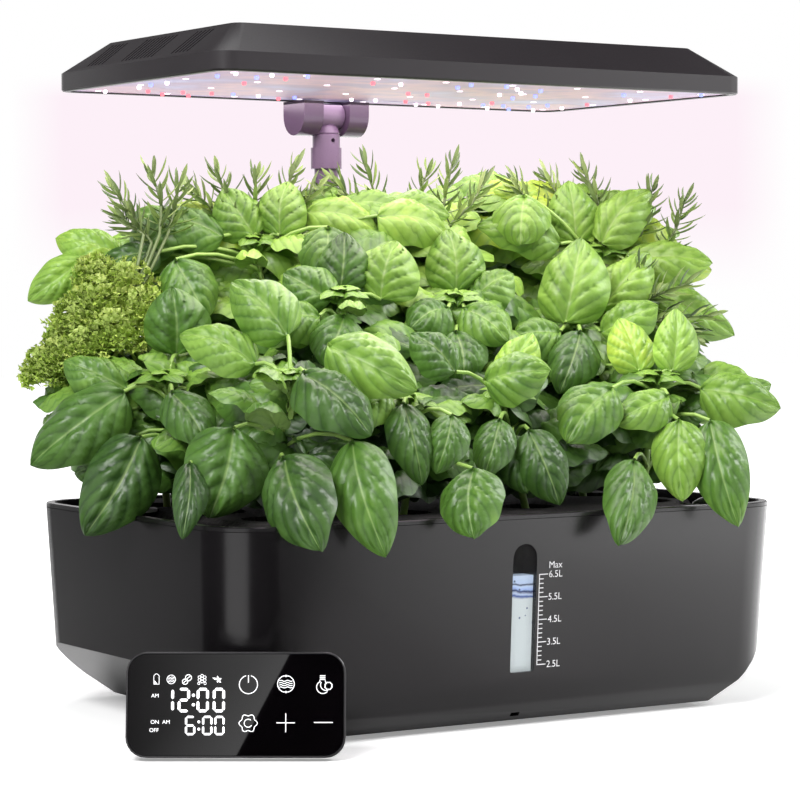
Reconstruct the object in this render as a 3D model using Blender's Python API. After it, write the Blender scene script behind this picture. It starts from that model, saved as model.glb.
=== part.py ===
"""Countertop hydroponic garden: water tank, planting deck, telescopic mast, LED hood and touch panel.

Frame: X runs along the front (right is +), -Y is the front, +Z is up. The origin is the centre of the
tank's underside, and the rubber feet reach FOOT_HEIGHT below it. Lengths are in metres.
"""
import math

import bmesh
import bpy
from mathutils import Matrix, Vector
from mathutils.bvhtree import BVHTree

# Clearances and overruns shared by every piece
REST_GAP = 0.0003
SLIDE_FIT = 0.0004
RUNNING_GAP = 0.0004
OVERRUN = 0.004
SMOOTH_ANGLE = math.radians(35.0)
FLAT_ANGLE = math.radians(1.0)

# Tank
TANK_WIDTH = 0.385
TANK_DEPTH = 0.249
TANK_HEIGHT = 0.1158
TANK_CORNER = 0.032
TANK_WALL = 0.0025
TANK_DRAFT_SLOPE = 0.049
END_RISE = 0.0357
END_RUN = 0.0465
SIDE_RISE = 0.0132
SIDE_RUN = 0.009
FOOT_RADIUS = 0.009
FOOT_HEIGHT = 0.003
FOOT_SEAT = 0.001
FOOT_TAPER = 0.0005
FOOT_ACROSS = TANK_WIDTH - 0.149
FOOT_ALONG = TANK_DEPTH - 0.079

# Water window in the tank's front wall
WINDOW_WIDTH = 0.0164
WINDOW_LOW = 0.0285
WINDOW_HIGH = 0.1018
WINDOW_CORNER = 0.0012
PANE_THICKNESS = 0.0016
WELL_WALL = 0.0016
WELL_DEPTH = 0.008
WATER_LEVEL = 0.0835
WELL_INLET = 0.006

# Deck: a tray with a flush lip that closes the tank
LIP_HEIGHT = 0.0025
LIP_WIDTH = 0.005
LIP_EDGE = 0.0006
TRAY_DEPTH = 0.010
TRAY_FLOOR = 0.002
POD_COLUMNS = 4
POD_ROWS = 3
POD_PITCH_X_SHARE = 0.087 / 0.385
POD_PITCH_Y_SHARE = 0.062 / 0.249
POD_PITCH_X = TANK_WIDTH * POD_PITCH_X_SHARE
POD_PITCH_Y = TANK_DEPTH * POD_PITCH_Y_SHARE
POD_HOLE = 0.0145

# Planting basket
BASKET_WALL = 0.0012
BASKET_FLANGE = 0.0172
BASKET_FLANGE_HEIGHT = 0.0045
BASKET_DROP = 0.045
BASKET_FOOT = 0.0100
BASKET_SLOT_LOW = 0.008
BASKET_SLOT_HIGH = 0.030
BASKET_SIDES = 8

# Growing medium spread in the tray
MEDIUM_IN_X = 0.0335
MEDIUM_IN_Y = 0.0105
MEDIUM_WIDTH = TANK_WIDTH - 2 * MEDIUM_IN_X
MEDIUM_DEPTH = TANK_DEPTH - 2 * MEDIUM_IN_Y
MEDIUM_CORNER = 0.022
MEDIUM_BELOW_LIP = 0.0012
MEDIUM_EDGE = 0.0025
MEDIUM_LID_ROOM = 0.0266

# Fill port and its hinged lid
FILL_IN_X = 0.0345
FILL_IN_Y = 0.026
FILL_X = TANK_WIDTH / 2 - FILL_IN_X
FILL_Y = FILL_IN_Y - TANK_DEPTH / 2
FILL_HOLE = 0.012
FILL_RING = 0.0155
FILL_RING_HEIGHT = 0.0034
LID_RADIUS = 0.0163
LID_RISE = 0.0095
LID_WALL = 0.002
LID_DOME_SHARES = ((1.0, 0.0), (1.0, 0.22), (0.906, 0.55), (0.643, 0.82), (0.309, 0.96), (0.0, 1.0))
LID_INNER_SHARE = 0.5
LID_INNER_DROP = 0.0006
LUG_BITE = 0.0012
LUG_RADIUS = 0.0027
LUG_LENGTH = 0.010
LUG_EAR = 0.003
LUG_REACH = 0.0038
LID_PIN = 0.0011

# Nutrient port cap
CAP_IN_X = 0.0265
CAP_Y_SHARE = 0.034 / 0.249
CAP_X = CAP_IN_X - TANK_WIDTH / 2
CAP_Y = TANK_DEPTH * CAP_Y_SHARE
CAP_RADIUS = 0.0105
CAP_DOME = 0.0058
CAP_HOLE = 0.0070
CAP_RING_HEIGHT = 0.0078
CAP_WING = 0.002
CAP_DOME_SHARES = ((1.0, 0.40), (0.8, 1.0), (0.4, 1.25))
CAP_WING_SHARE = 0.3

# Mast
MAST_IN_Y = 0.0283
MAST_Y = TANK_DEPTH / 2 - MAST_IN_Y
TUBE_WALL = 0.0014
LOWER_RADIUS = 0.0120
LOWER_TOP = 0.225
MIDDLE_RADIUS = 0.0097
MIDDLE_LOW = 0.124
MIDDLE_TOP = 0.283
UPPER_RADIUS = 0.0075
UPPER_LOW = 0.165
GLAND_WALL = 0.0022
GLAND_SKIRT = 0.012
GLAND_LIP = 0.0055
SOCKET_FLANGE = 0.0180
SOCKET_FLANGE_HEIGHT = 0.0026
SOCKET_WALL = 0.0022
SOCKET_TOP = 0.130
SOCKET_LOW = 0.099
SOCKET_FLOOR = 0.0016

# Mast head and tilt hinge
HEAD_LOW = 0.3214
HEAD_COLLAR_TOP = 0.3346
HEAD_COLLAR = 0.00975
HEAD_RADIUS = 0.0087
HEAD_RING = 0.3432
HEAD_GROOVE = 0.0006
HEAD_DOME_TOP = 0.3500
HEAD_SOCKET = 0.011
HEAD_SCREW_HOLE = 0.0014
HEAD_SCREW_Z = 0.3390
HEAD_SCREW_DEPTH = 0.0045
HEAD_SHOULDER = 0.0030
HEAD_SHOULDER_SHARE = 0.86
HEAD_CROWN_SHARE = 0.5
HINGE_Z = 0.3547
EYE_RADIUS = 0.0078
CHEEK_GAP = 0.0190
CHEEK_THICKNESS = 0.0140
CHEEK_DEPTH = 0.0260
CHEEK_SKIN = 0.0020
PIN_RADIUS = 0.0030

# Lamp hood
HOOD_WIDTH = 0.362
HOOD_DEPTH = 0.205
HOOD_Y = MAST_Y + CHEEK_DEPTH / 2 - HOOD_DEPTH / 2
HOOD_LOW = 0.3634
HOOD_BAND = 0.0107
HOOD_RISE = 0.0177
HOOD_SLOPE_RUN = 0.023
HOOD_CORNER = 0.012
HOOD_TOP_CORNER = 0.006
HOOD_RIM = 0.005
HOOD_WALL = 0.002
VENT_WIDTH = 0.0018
VENT_PITCH = 0.0046
VENT_END = 0.0092
VENT_LENGTH_SHARE = 0.74
VENT_COUNTS = (5, 9, 5)
VENT_CENTRE_SHARES = (-0.72, 0.02, 0.78)

# LED board
BOARD_RECESS = 0.0008
BOARD_THICKNESS = 0.0016
LED_COLUMNS = 8
LED_ROWS = 4
LED_SIDE = 0.0026
LED_HEIGHT = 0.0006
LED_MARGIN = 0.014
BOARD_SLOT_X = 0.0485
BOARD_SLOT_IN_Y = 0.0292
BOARD_SLOT_Y = HOOD_Y + HOOD_DEPTH / 2 - BOARD_SLOT_IN_Y
BOARD_SLOT_LENGTH = 0.042
BOARD_SLOT_WIDTH = 0.0025
DRIVER_WIDTH = 0.120
DRIVER_DEPTH = 0.044
DRIVER_HEIGHT = 0.014
DRIVER_IN_Y = 0.0572
DRIVER_Y = HOOD_Y + HOOD_DEPTH / 2 - DRIVER_IN_Y

# Pump on the tank floor
PUMP_X = 0.086
PUMP_Y = 0.030
PUMP_WIDTH = 0.044
PUMP_DEPTH = 0.040
PUMP_HEIGHT = 0.036
PUMP_CORNER = 0.006
CHAMBER_RADIUS = 0.0130
CHAMBER_DEPTH = 0.013
SHAFT_RADIUS = 0.0012
IMPELLER_HUB = 0.0036
IMPELLER_RADIUS = 0.0112
IMPELLER_WIDTH = 0.009
IMPELLER_BLADES = 5
BLADE_THICKNESS = 0.0014
STRAINER_THICKNESS = 0.0020
STRAINER_WIDTH = 0.038
STRAINER_SLOTS = 5
STRAINER_SLOT = 0.0022
RISER_RADIUS = 0.0052
RISER_BORE = 0.0036
RISER_TOP = 0.098
NOZZLE_SEAT = 0.003

# Power inlet in the tank's back wall
INLET_X = -0.060
INLET_Z = 0.094
INLET_BARREL = 0.0058
INLET_FLANGE = 0.0080
INLET_FLANGE_HEIGHT = 0.0016
INLET_BORE = 0.0037
INLET_BORE_DEPTH = 0.0095
INLET_LENGTH = 0.0150

# Touch panel that stands on the counter
PANEL_OUT_X = 0.0023
PANEL_OUT_Y = 0.0123
PANEL_X = -(TANK_WIDTH / 2 + PANEL_OUT_X)
PANEL_Y = -(TANK_DEPTH / 2 + PANEL_OUT_Y)
PANEL_TURN = math.radians(-32.3)
PANEL_LEAN = math.radians(-10.0)
PANEL_WIDTH = 0.1160
PANEL_HEIGHT = 0.0556
PANEL_THICKNESS = 0.0110
PANEL_CORNER = 0.0108
PANEL_BEZEL = 0.0009
PANEL_FRONT_EDGE = 0.0004
PANEL_BACK_EDGE = 0.0016
PANEL_POCKET = 0.0064
GLASS_THICKNESS = 0.0018
CIRCUIT_THICKNESS = 0.0016
CIRCUIT_STANDOFF = 0.0007
STAND_WIDTH = 0.046
STAND_LENGTH = 0.041
STAND_THICKNESS = 0.0022
STAND_HINGE_HEIGHT = 0.0400
STAND_BARREL = 0.0021
STAND_STUB = 0.0011
STAND_EAR = 0.0030
STAND_EAR_ROOT = 0.0024
STAND_ANGLE = math.radians(33.0)

# Sight lines: the leaves are placed as they are seen from a standing eye in front of the left corner.
EYE_DISTANCE = 1.696
EYE_HEIGHT = 0.2441
EYE_TURN = math.radians(32.3)
EYE_OFFSET = -0.005
SIGHT_HALF = 0.2407
HORIZON_SHARE = 0.2775
SIGHT_STEP_SHARE = 0.01

# Foliage
STEM_RADIUS = 0.0024
STEM_SIDES = 5
PETIOLE_RADIUS = 0.0010
LEAF_THICKNESS = 0.0012
LEAF_GAP = 0.0006
LEAF_BOW_SHARE = 0.10
LEAF_FOLD_SHARE = 0.14
LEAF_STATION_SHARES = ((0.28, 0.92), (0.66, 0.80), (1.0, 0.04))
LEAF_NUDGE = 0.006
LEAF_TRIES = 9
LEAF_SHRINK_SHARE = 0.05
LAMP_KEEP_OUT = 0.3465
LAMP_KEEP_WIDTH = 0.580
LAMP_KEEP_DEPTH = 0.330
MAST_KEEP_OUT = 0.0168
MAST_KEEP_CORNER = 0.0150
LID_KEEP_OUT = 0.036
LID_KEEP_WIDTH = 0.050
LID_KEEP_HEIGHT = 0.043
RIM_KEEP_OUT = 0.0012
FACE_UP_SHARE = 0.75
SPRIG_RADIUS = 0.0065
SPRIG_STATION_SHARES = (0.35, 0.7)
TUFT_RADIUS = 0.017
TUFT_STATION_SHARES = ((-0.7, 0.1), (-0.3, 0.9), (0.2, 1.0), (0.7, 0.3))
STEM_LOW_SHARE = 0.12
STEM_HIGH_SHARE = 0.97

# Segment counts
CORNER_STEPS = 6
SMALL_STEPS = 3
ROUND_SIDES = 16
SMALL_SIDES = 12

# Corners of each face of a bar
BOX_FACES = ((3, 2, 1, 0), (4, 5, 6, 7), (0, 1, 5, 4), (1, 2, 6, 5), (2, 3, 7, 6), (3, 0, 4, 7))

# Plants, one for each pod: kind, column, row, and where the stem ends, in hundredths of SIGHT_HALF
# as the eye sees it: across from the middle, up from the middle, and nearer to the eye.
PLANT_SHARES = (
    ("basil", 0, 0, (-27, 4, 52)),
    ("basil", 1, 0, (2, -2, 36)),
    ("basil", 2, 0, (26, 0, 18)),
    ("basil", 3, 0, (64, 4, 0)),
    ("basil", 0, 1, (-59, 4, 30)),
    ("basil", 1, 1, (-15, 25, 16)),
    ("basil", 2, 1, (14, 24, -4)),
    ("basil", 3, 1, (44, 17, -22)),
    ("parsley", 0, 2, (-68, 22, 10)),
    ("basil", 1, 2, (-36, 38, -10)),
    ("rosemary", 2, 2, (6, 40, -30)),
    ("basil", 3, 2, (50, 36, -44)),
)

# Leaves of each basil plant, in the same hundredths: base across, up, near, tip across, up, near, width.
LEAF_SHARES = (
    ((-41, -8, 57, -47, -30, 63, 19), (-29, -17, 64, -21, -39, 80, 18), (-12, -9, 60, -4, -37, 73, 16),
     (-24, 8, 58, -7, -7, 68, 15), (-36, 10, 46, -55, 18, 42, 13), (-28, 17, 44, -42, 31, 38, 15),
     (-52, -18, 60, -54, -36, 72, 8)),
    ((-18, 15, 48, 4, 4, 56, 14), (13, -3, 46, 9, -17, 52, 11), (18, -17, 48, 18, -34, 58, 14),
     (1, 0, 48, 6, -20, 54, 11), (-3, 3, 46, -13, -6, 52, 10)),
    ((14, 8, 28, 3, 18, 26, 12), (21, 6, 26, 37, 9, 32, 14), (28, -8, 28, 32, -22, 34, 12),
     (25, -4, 32, 21, -18, 40, 10), (32, -8, 22, 40, -26, 28, 13), (27, 5, 16, 33, 18, 12, 11)),
    ((67, 2, 10, 54, -4, 16, 12), (69, -5, 8, 70, -25, 14, 14), (77, -4, 6, 84, -30, 18, 14),
     (75, 4, -2, 95, 0, 4, 15), (58, -15, 16, 55, -35, 34, 13), (68, 8, 2, 69, 24, -2, 11),
     (53, 4, 16, 42, -9, 26, 14)),
    ((-69, 3, 35, -93, -14, 42, 17), (-64, -12, 38, -78, -36, 46, 17), (-56, 12, 24, -57, 29, 26, 16),
     (-68, 4, 28, -84, 11, 26, 13), (-57, 3, 42, -48, -10, 52, 12), (-66, -8, 30, -76, -25, 30, 10)),
    ((-5, 26, 8, -1, 41, 4, 17), (-17, 26, 18, -29, 33, 16, 14), (-15, 28, 10, -14, 43, 6, 13),
     (-14, 22, 24, -19, 10, 32, 14), (-20, 22, 22, -34, 21, 26, 13)),
    ((16, 24, 0, 27, 17, 8, 14), (12, 24, 2, 3, 20, 10, 13), (14, 28, -8, 12, 44, -12, 15),
     (18, 26, -8, 28, 33, -10, 13), (14, 18, 6, 16, 6, 14, 13)),
    ((41, 20, -14, 45, 42, -20, 18), (50, 18, -16, 64, 25, -12, 14), (45, 18, -8, 40, 4, 2, 13),
     (40, 18, -12, 29, 18, -6, 13), (50, 24, -26, 62, 38, -30, 14), (54, 14, -14, 68, 12, -10, 12)),
    (),
    ((-18, 44, -2, -19, 32, 6, 15), (-48, 38, -2, -58, 24, 4, 14), (-36, 42, -8, -44, 54, -10, 14),
     (-30, 42, -8, -28, 56, -12, 13), (-44, 42, -6, -64, 46, -6, 13)),
    (),
    ((31, 52, -36, 30, 40, -28, 15), (50, 40, -40, 62, 54, -44, 14), (56, 36, -40, 78, 36, -38, 15),
     (44, 40, -42, 42, 56, -46, 14), (60, 30, -38, 84, 18, -34, 15), (40, 40, -36, 20, 46, -34, 14)),
)

# Parsley fronds: across, up, near and radius; rosemary sprigs: base and tip, and which plant grows them.
FROND_SHARES = (
    (-68, 32, 8, 100), (-78, 22, 12, 96), (-86, 32, 4, 88), (-62, 19, 18, 76), (-90, 12, 10, 74),
    (-73, 42, -2, 88), (-58, 44, -4, 72),
)
SPRIG_SHARES = (
    (10, (4, 38, -28, 4, 60, -30)), (10, (8, 38, -32, 14, 58, -36)), (10, (2, 36, -26, -8, 56, -24)),
    (10, (10, 40, -34, 23, 56, -40)), (10, (6, 30, -20, 2, 46, -12)), (10, (0, 30, -22, -12, 46, -16)),
    (8, (-66, 36, 4, -66, 56, 0)), (8, (-62, 36, 2, -53, 58, -4)), (8, (-70, 34, 4, -79, 52, 2)),
    (11, (56, 36, -44, 67, 57, -52)), (11, (48, 42, -46, 48, 62, -56)), (11, (62, 30, -36, 76, 28, -26)),
    (9, (-38, 42, -12, -40, 62, -16)), (9, (-32, 42, -12, -20, 62, -18)),
)

# Worked out from the sizes above
DECK_LOW = TANK_HEIGHT + REST_GAP
LIP_TOP = DECK_LOW + LIP_HEIGHT
TRAY_TOP = LIP_TOP - TRAY_DEPTH
TRAY_LOW = TRAY_TOP - TRAY_FLOOR
SEAT = TRAY_TOP + REST_GAP
BASKET_TOP = SEAT + BASKET_FLANGE_HEIGHT
BASKET_LOW = TRAY_TOP - BASKET_DROP
HOOD_MID = HOOD_LOW + HOOD_BAND
HOOD_TOP = HOOD_MID + HOOD_RISE
BOARD_LOW = HOOD_LOW + BOARD_RECESS
BOARD_TOP = BOARD_LOW + BOARD_THICKNESS
CHEEK_TOP = HOOD_LOW - REST_GAP
LID_HINGE_X = FILL_X - LID_RADIUS - LUG_REACH
LID_LOW = TRAY_TOP + FILL_RING_HEIGHT + REST_GAP
LID_HINGE_Z = LID_LOW + LUG_RADIUS
PUMP_LOW = TANK_WALL + REST_GAP
PUMP_TOP = PUMP_LOW + PUMP_HEIGHT
PUMP_FRONT = PUMP_Y - PUMP_DEPTH / 2
COUNTER = -FOOT_HEIGHT
SIGHT_STEP = SIGHT_HALF * SIGHT_STEP_SHARE


def clear_scene():
    """Start from an empty scene."""
    for item in list(bpy.data.objects):
        bpy.data.objects.remove(item, do_unlink=True)


def material(name, color, roughness, metallic=0.0):
    """A plain Principled material."""
    made = bpy.data.materials.get(name) or bpy.data.materials.new(name)
    made.use_nodes = True
    shader = made.node_tree.nodes["Principled BSDF"]
    shader.inputs["Base Color"].default_value = (*color, 1.0)
    shader.inputs["Roughness"].default_value = roughness
    shader.inputs["Metallic"].default_value = metallic
    return made


def add_mesh(name, points, faces, finish, smooth=False):
    """Make one object from points and faces, with its faces turned outwards."""
    mesh = bpy.data.meshes.new(name)
    mesh.from_pydata([tuple(p) for p in points], [], faces)
    work = bmesh.new()
    work.from_mesh(mesh)
    bmesh.ops.recalc_face_normals(work, faces=work.faces)
    work.to_mesh(mesh)
    work.free()
    if smooth:
        mesh.shade_smooth()
        mesh.set_sharp_from_angle(angle=SMOOTH_ANGLE)
    made = bpy.data.objects.new(name, mesh)
    bpy.context.scene.collection.objects.link(made)
    if finish:
        mesh.materials.append(finish)
    return made


def rounded_loop(width, depth, radius, z, centre=(0.0, 0.0), steps=CORNER_STEPS):
    """Points of a rounded rectangle at height z, counter-clockwise."""
    points = []
    for quarter, (sx, sy) in enumerate(((1, 1), (-1, 1), (-1, -1), (1, -1))):
        mid_x = centre[0] + sx * (width / 2 - radius)
        mid_y = centre[1] + sy * (depth / 2 - radius)
        for step in range(steps + 1):
            angle = math.radians(90.0 * (quarter + step / steps))
            points.append((mid_x + radius * math.cos(angle), mid_y + radius * math.sin(angle), z))
    return points


def loft(name, loops, finish, smooth=True):
    """Skin loops of equal length in their order, and cap the first and the last."""
    count = len(loops[0])
    points = [point for loop in loops for point in loop]
    faces = [tuple(range(count)), tuple(range(len(points) - count, len(points)))]
    for level in range(len(loops) - 1):
        for i in range(count):
            j = (i + 1) % count
            low = level * count
            high = low + count
            faces.append((low + i, low + j, high + j, high + i))
    return add_mesh(name, points, faces, finish, smooth)


def lathe(name, profile, finish, centre=(0.0, 0.0), sides=ROUND_SIDES, closed=False):
    """Turn a profile of (radius, height) about the vertical through centre; radius 0 ends on the axis."""
    rings = []
    points = []
    for radius, z in profile:
        first = len(points)
        if radius == 0:
            points.append((centre[0], centre[1], z))
            rings.append([first] * sides)
            continue
        for i in range(sides):
            angle = math.tau * i / sides
            points.append((centre[0] + radius * math.cos(angle), centre[1] + radius * math.sin(angle), z))
        rings.append(list(range(first, first + sides)))
    pairs = list(zip(rings, rings[1:]))
    if closed:
        pairs.append((rings[-1], rings[0]))
    faces = []
    for low, high in pairs:
        for i in range(sides):
            j = (i + 1) % sides
            corners = tuple(dict.fromkeys((low[i], low[j], high[j], high[i])))
            if len(corners) > 2:
                faces.append(corners)
    if not closed:
        faces += [tuple(ring) for ring in (rings[0], rings[-1]) if ring[0] != ring[1]]
    return add_mesh(name, points, faces, finish, smooth=True)


def prism(name, outline, low, high, axis, finish, smooth=False):
    """Extrude an outline of two coordinates along axis (0, 1 or 2) from low to high."""
    count = len(outline)
    points = []
    for level in (low, high):
        for u, v in outline:
            point = [u, v]
            point.insert(axis, level)
            points.append(tuple(point))
    faces = [tuple(range(count)), tuple(range(count, 2 * count))]
    faces += [(i, (i + 1) % count, count + (i + 1) % count, count + i) for i in range(count)]
    return add_mesh(name, points, faces, finish, smooth)


def circle(centre, radius, sides=SMALL_SIDES, start=0.0, end=None):
    """Points on a circle, or on an arc when end is given, as the outline of a prism."""
    count = sides if end is None else sides + 1
    end = start + math.tau if end is None else end
    return [(centre[0] + radius * math.cos(start + (end - start) * i / sides),
             centre[1] + radius * math.sin(start + (end - start) * i / sides)) for i in range(count)]


def box(name, low, high, finish):
    """A block between two corners."""
    outline = [(low[0], low[1]), (high[0], low[1]), (high[0], high[1]), (low[0], high[1])]
    return prism(name, outline, low[2], high[2], 2, finish)


def combine(target, tool, operation="DIFFERENCE", solver="EXACT"):
    """Cut, join or intersect target with a tool, which stays as a hidden guide."""
    modifier = target.modifiers.new(tool.name, "BOOLEAN")
    modifier.operation = operation
    modifier.solver = solver
    modifier.object = tool
    tool.hide_render = True
    tool.display_type = "WIRE"
    tool.parent = target.parent
    return target


def pod_places():
    """Column, row and centre of each pod, the front row first."""
    for row in range(POD_ROWS):
        for column in range(POD_COLUMNS):
            x = (column - (POD_COLUMNS - 1) / 2) * POD_PITCH_X
            y = (row - (POD_ROWS - 1) / 2) * POD_PITCH_Y
            yield column, row, x, y


def finishes():
    """Materials of the pieces, by name."""
    return {
        "tank": material("tank_plastic", (0.045, 0.043, 0.047), 0.42),
        "deck": material("deck_plastic", (0.040, 0.038, 0.042), 0.30),
        "white": material("white_plastic", (0.80, 0.80, 0.80), 0.40),
        "rubber": material("rubber", (0.03, 0.03, 0.03), 0.85),
        "clear": material("clear_plastic", (0.75, 0.80, 0.85), 0.08),
        "water": material("water", (0.55, 0.72, 0.88), 0.05),
        "mast": material("mast_aluminium", (0.16, 0.15, 0.18), 0.32, 0.9),
        "hinge": material("hinge_plastic", (0.060, 0.055, 0.070), 0.40),
        "steel": material("steel", (0.60, 0.60, 0.62), 0.25, 1.0),
        "hood": material("hood_plastic", (0.060, 0.058, 0.060), 0.50),
        "led": material("led_board", (0.86, 0.80, 0.88), 0.45),
        "driver": material("driver_case", (0.20, 0.20, 0.22), 0.50),
        "pump": material("pump_plastic", (0.05, 0.05, 0.06), 0.45),
        "glass": material("panel_glass", (0.010, 0.010, 0.012), 0.06),
        "circuit": material("circuit_board", (0.03, 0.14, 0.07), 0.50),
        "basket": material("basket_plastic", (0.06, 0.06, 0.06), 0.50),
        "medium": material("growing_medium", (0.030, 0.024, 0.020), 0.95),
        "basil": material("basil_leaf", (0.15, 0.33, 0.08), 0.42),
        "parsley": material("parsley_leaf", (0.22, 0.42, 0.10), 0.60),
        "rosemary": material("rosemary_leaf", (0.20, 0.30, 0.12), 0.60),
    }


def tank_outline(inset, z, radius):
    """The drafted outline of the tank at height z, drawn in by inset."""
    shrink = inset + TANK_DRAFT_SLOPE * (TANK_HEIGHT - z)
    return rounded_loop(TANK_WIDTH - 2 * shrink, TANK_DEPTH - 2 * shrink, radius, z)


def chamfer_outline(half, run, rise, inset, top):
    """A profile with its two lower corners cut straight, drawn in by inset on every side."""
    wall = half - TANK_DRAFT_SLOPE * (TANK_HEIGHT - rise)
    slope = math.hypot(run, rise)
    shift = inset * slope / rise
    outer = half + OVERRUN
    low_x = wall - run - shift + inset * run / rise
    bend = inset + (outer - low_x) * rise / run
    return [(-low_x, inset), (low_x, inset), (outer, bend), (outer, top), (-outer, top), (-outer, bend)]


def tank_body(name, inset, low, finish):
    """The tank's outer form, or the form of its cavity when drawn in by the wall."""
    top = TANK_HEIGHT if inset == 0 else TANK_HEIGHT + OVERRUN
    radius = TANK_CORNER - inset
    body = loft(name, [tank_outline(inset, low, radius), tank_outline(inset, top, radius)], finish)
    high = TANK_HEIGHT + 2 * OVERRUN
    ends = prism(name + "_ends", chamfer_outline(TANK_WIDTH / 2, END_RUN, END_RISE, inset, high),
                 -TANK_DEPTH, TANK_DEPTH, 1, None)
    sides = prism(name + "_sides", chamfer_outline(TANK_DEPTH / 2, SIDE_RUN, SIDE_RISE, inset, high),
                  -TANK_WIDTH, TANK_WIDTH, 0, None)
    combine(body, ends, "INTERSECT")
    combine(body, sides, "INTERSECT")
    return body


def window_outline(inset):
    """Outline of the window in X and Z: a domed top and nearly square lower corners."""
    half = WINDOW_WIDTH / 2 - inset
    low = WINDOW_LOW + inset
    spring = WINDOW_HIGH - WINDOW_WIDTH / 2
    corner = WINDOW_CORNER
    points = circle((half - corner, low + corner), corner, SMALL_STEPS, -math.pi / 2, 0.0)
    points += circle((0.0, spring), half, 2 * CORNER_STEPS, 0.0, math.pi)
    points += circle((corner - half, low + corner), corner, SMALL_STEPS, math.pi, 1.5 * math.pi)
    return points


def wall_y(z, inset=0.0):
    """How far the tank's front or back wall stands from the middle at height z."""
    return TANK_DEPTH / 2 - inset - TANK_DRAFT_SLOPE * (TANK_HEIGHT - z)


def build_tank(look):
    """Tank with its cavity, gauge well, window opening, inlet hole and foot seats."""
    tank = tank_body("tank", 0.0, 0.0, look["tank"])
    cavity = tank_body("tank_cavity", TANK_WALL, TANK_WALL, None)
    back = well_back() - WELL_WALL
    half = WINDOW_WIDTH / 2 + WELL_WALL
    well = box("tank_well", (-half, -TANK_DEPTH / 2 - OVERRUN, TANK_WALL - OVERRUN),
               (half, -back, WINDOW_HIGH + WELL_WALL), None)
    combine(cavity, well)
    combine(tank, cavity)
    combine(tank, well_room("tank_well_room", 0.0, WINDOW_HIGH, None))
    opening = prism("tank_window", window_outline(0.0), -TANK_DEPTH / 2 - OVERRUN,
                    -wall_y(0.0, TANK_WALL) + OVERRUN, 1, None)
    combine(tank, opening)
    inlet = box("tank_well_inlet", (-WELL_INLET / 2, -back - WELL_WALL - OVERRUN, TANK_WALL),
                (WELL_INLET / 2, -back + OVERRUN, TANK_WALL + WELL_INLET), None)
    combine(tank, inlet)
    socket = prism("tank_inlet_hole", circle((INLET_X, INLET_Z), INLET_BARREL + REST_GAP),
                   wall_y(0.0, 2 * TANK_WALL), TANK_DEPTH / 2 + OVERRUN, 1, None)
    combine(tank, socket)
    for index, (x, y) in enumerate(foot_places()):
        radius = FOOT_RADIUS + REST_GAP
        seat = lathe(f"tank_foot_seat_{index + 1}", [(radius, -OVERRUN), (radius, FOOT_SEAT)], None,
                     (x, y), SMALL_SIDES)
        combine(tank, seat)
    return tank


def well_back():
    """How far the rear wall of the gauge well stands from the middle, at its inner face."""
    return wall_y(WINDOW_LOW, TANK_WALL) - WELL_DEPTH


def well_room(name, inset, top, finish):
    """The room of the gauge well between the tank's front wall and the well's own walls."""
    low = TANK_WALL + inset
    half = WINDOW_WIDTH / 2 - inset
    room = tank_body(name, low, low, finish)
    sides = box(name + "_sides_cut", (-half, -TANK_DEPTH, 0.0), (half, -well_back() - inset, top), None)
    return combine(room, sides, "INTERSECT")


def foot_places():
    """Centres of the four feet."""
    return [(sx * FOOT_ACROSS / 2, sy * FOOT_ALONG / 2) for sx in (-1, 1) for sy in (-1, 1)]


def build_feet(look):
    """Rubber pads seated in the tank's underside."""
    profile = [(FOOT_RADIUS - FOOT_TAPER, COUNTER), (FOOT_RADIUS, FOOT_SEAT - REST_GAP)]
    for index, (x, y) in enumerate(foot_places()):
        lathe(f"foot_{index + 1}", profile, look["rubber"], (x, y), SMALL_SIDES)


def build_window(look):
    """Clear pane flush in the wall, and the water that stands behind it."""
    front = wall_y(WINDOW_HIGH)
    lean = TANK_DRAFT_SLOPE
    outline = window_outline(REST_GAP)
    points = []
    for back in (0.0, PANE_THICKNESS):
        for x, z in outline:
            points.append((x, lean * (WINDOW_HIGH - z) - front + REST_GAP + back, z))
    count = len(outline)
    faces = [tuple(range(count)), tuple(range(count, 2 * count))]
    faces += [(i, (i + 1) % count, count + (i + 1) % count, count + i) for i in range(count)]
    add_mesh("window_pane", points, faces, look["clear"])
    well_room("gauge_water", REST_GAP, WATER_LEVEL, look["water"])


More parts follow.
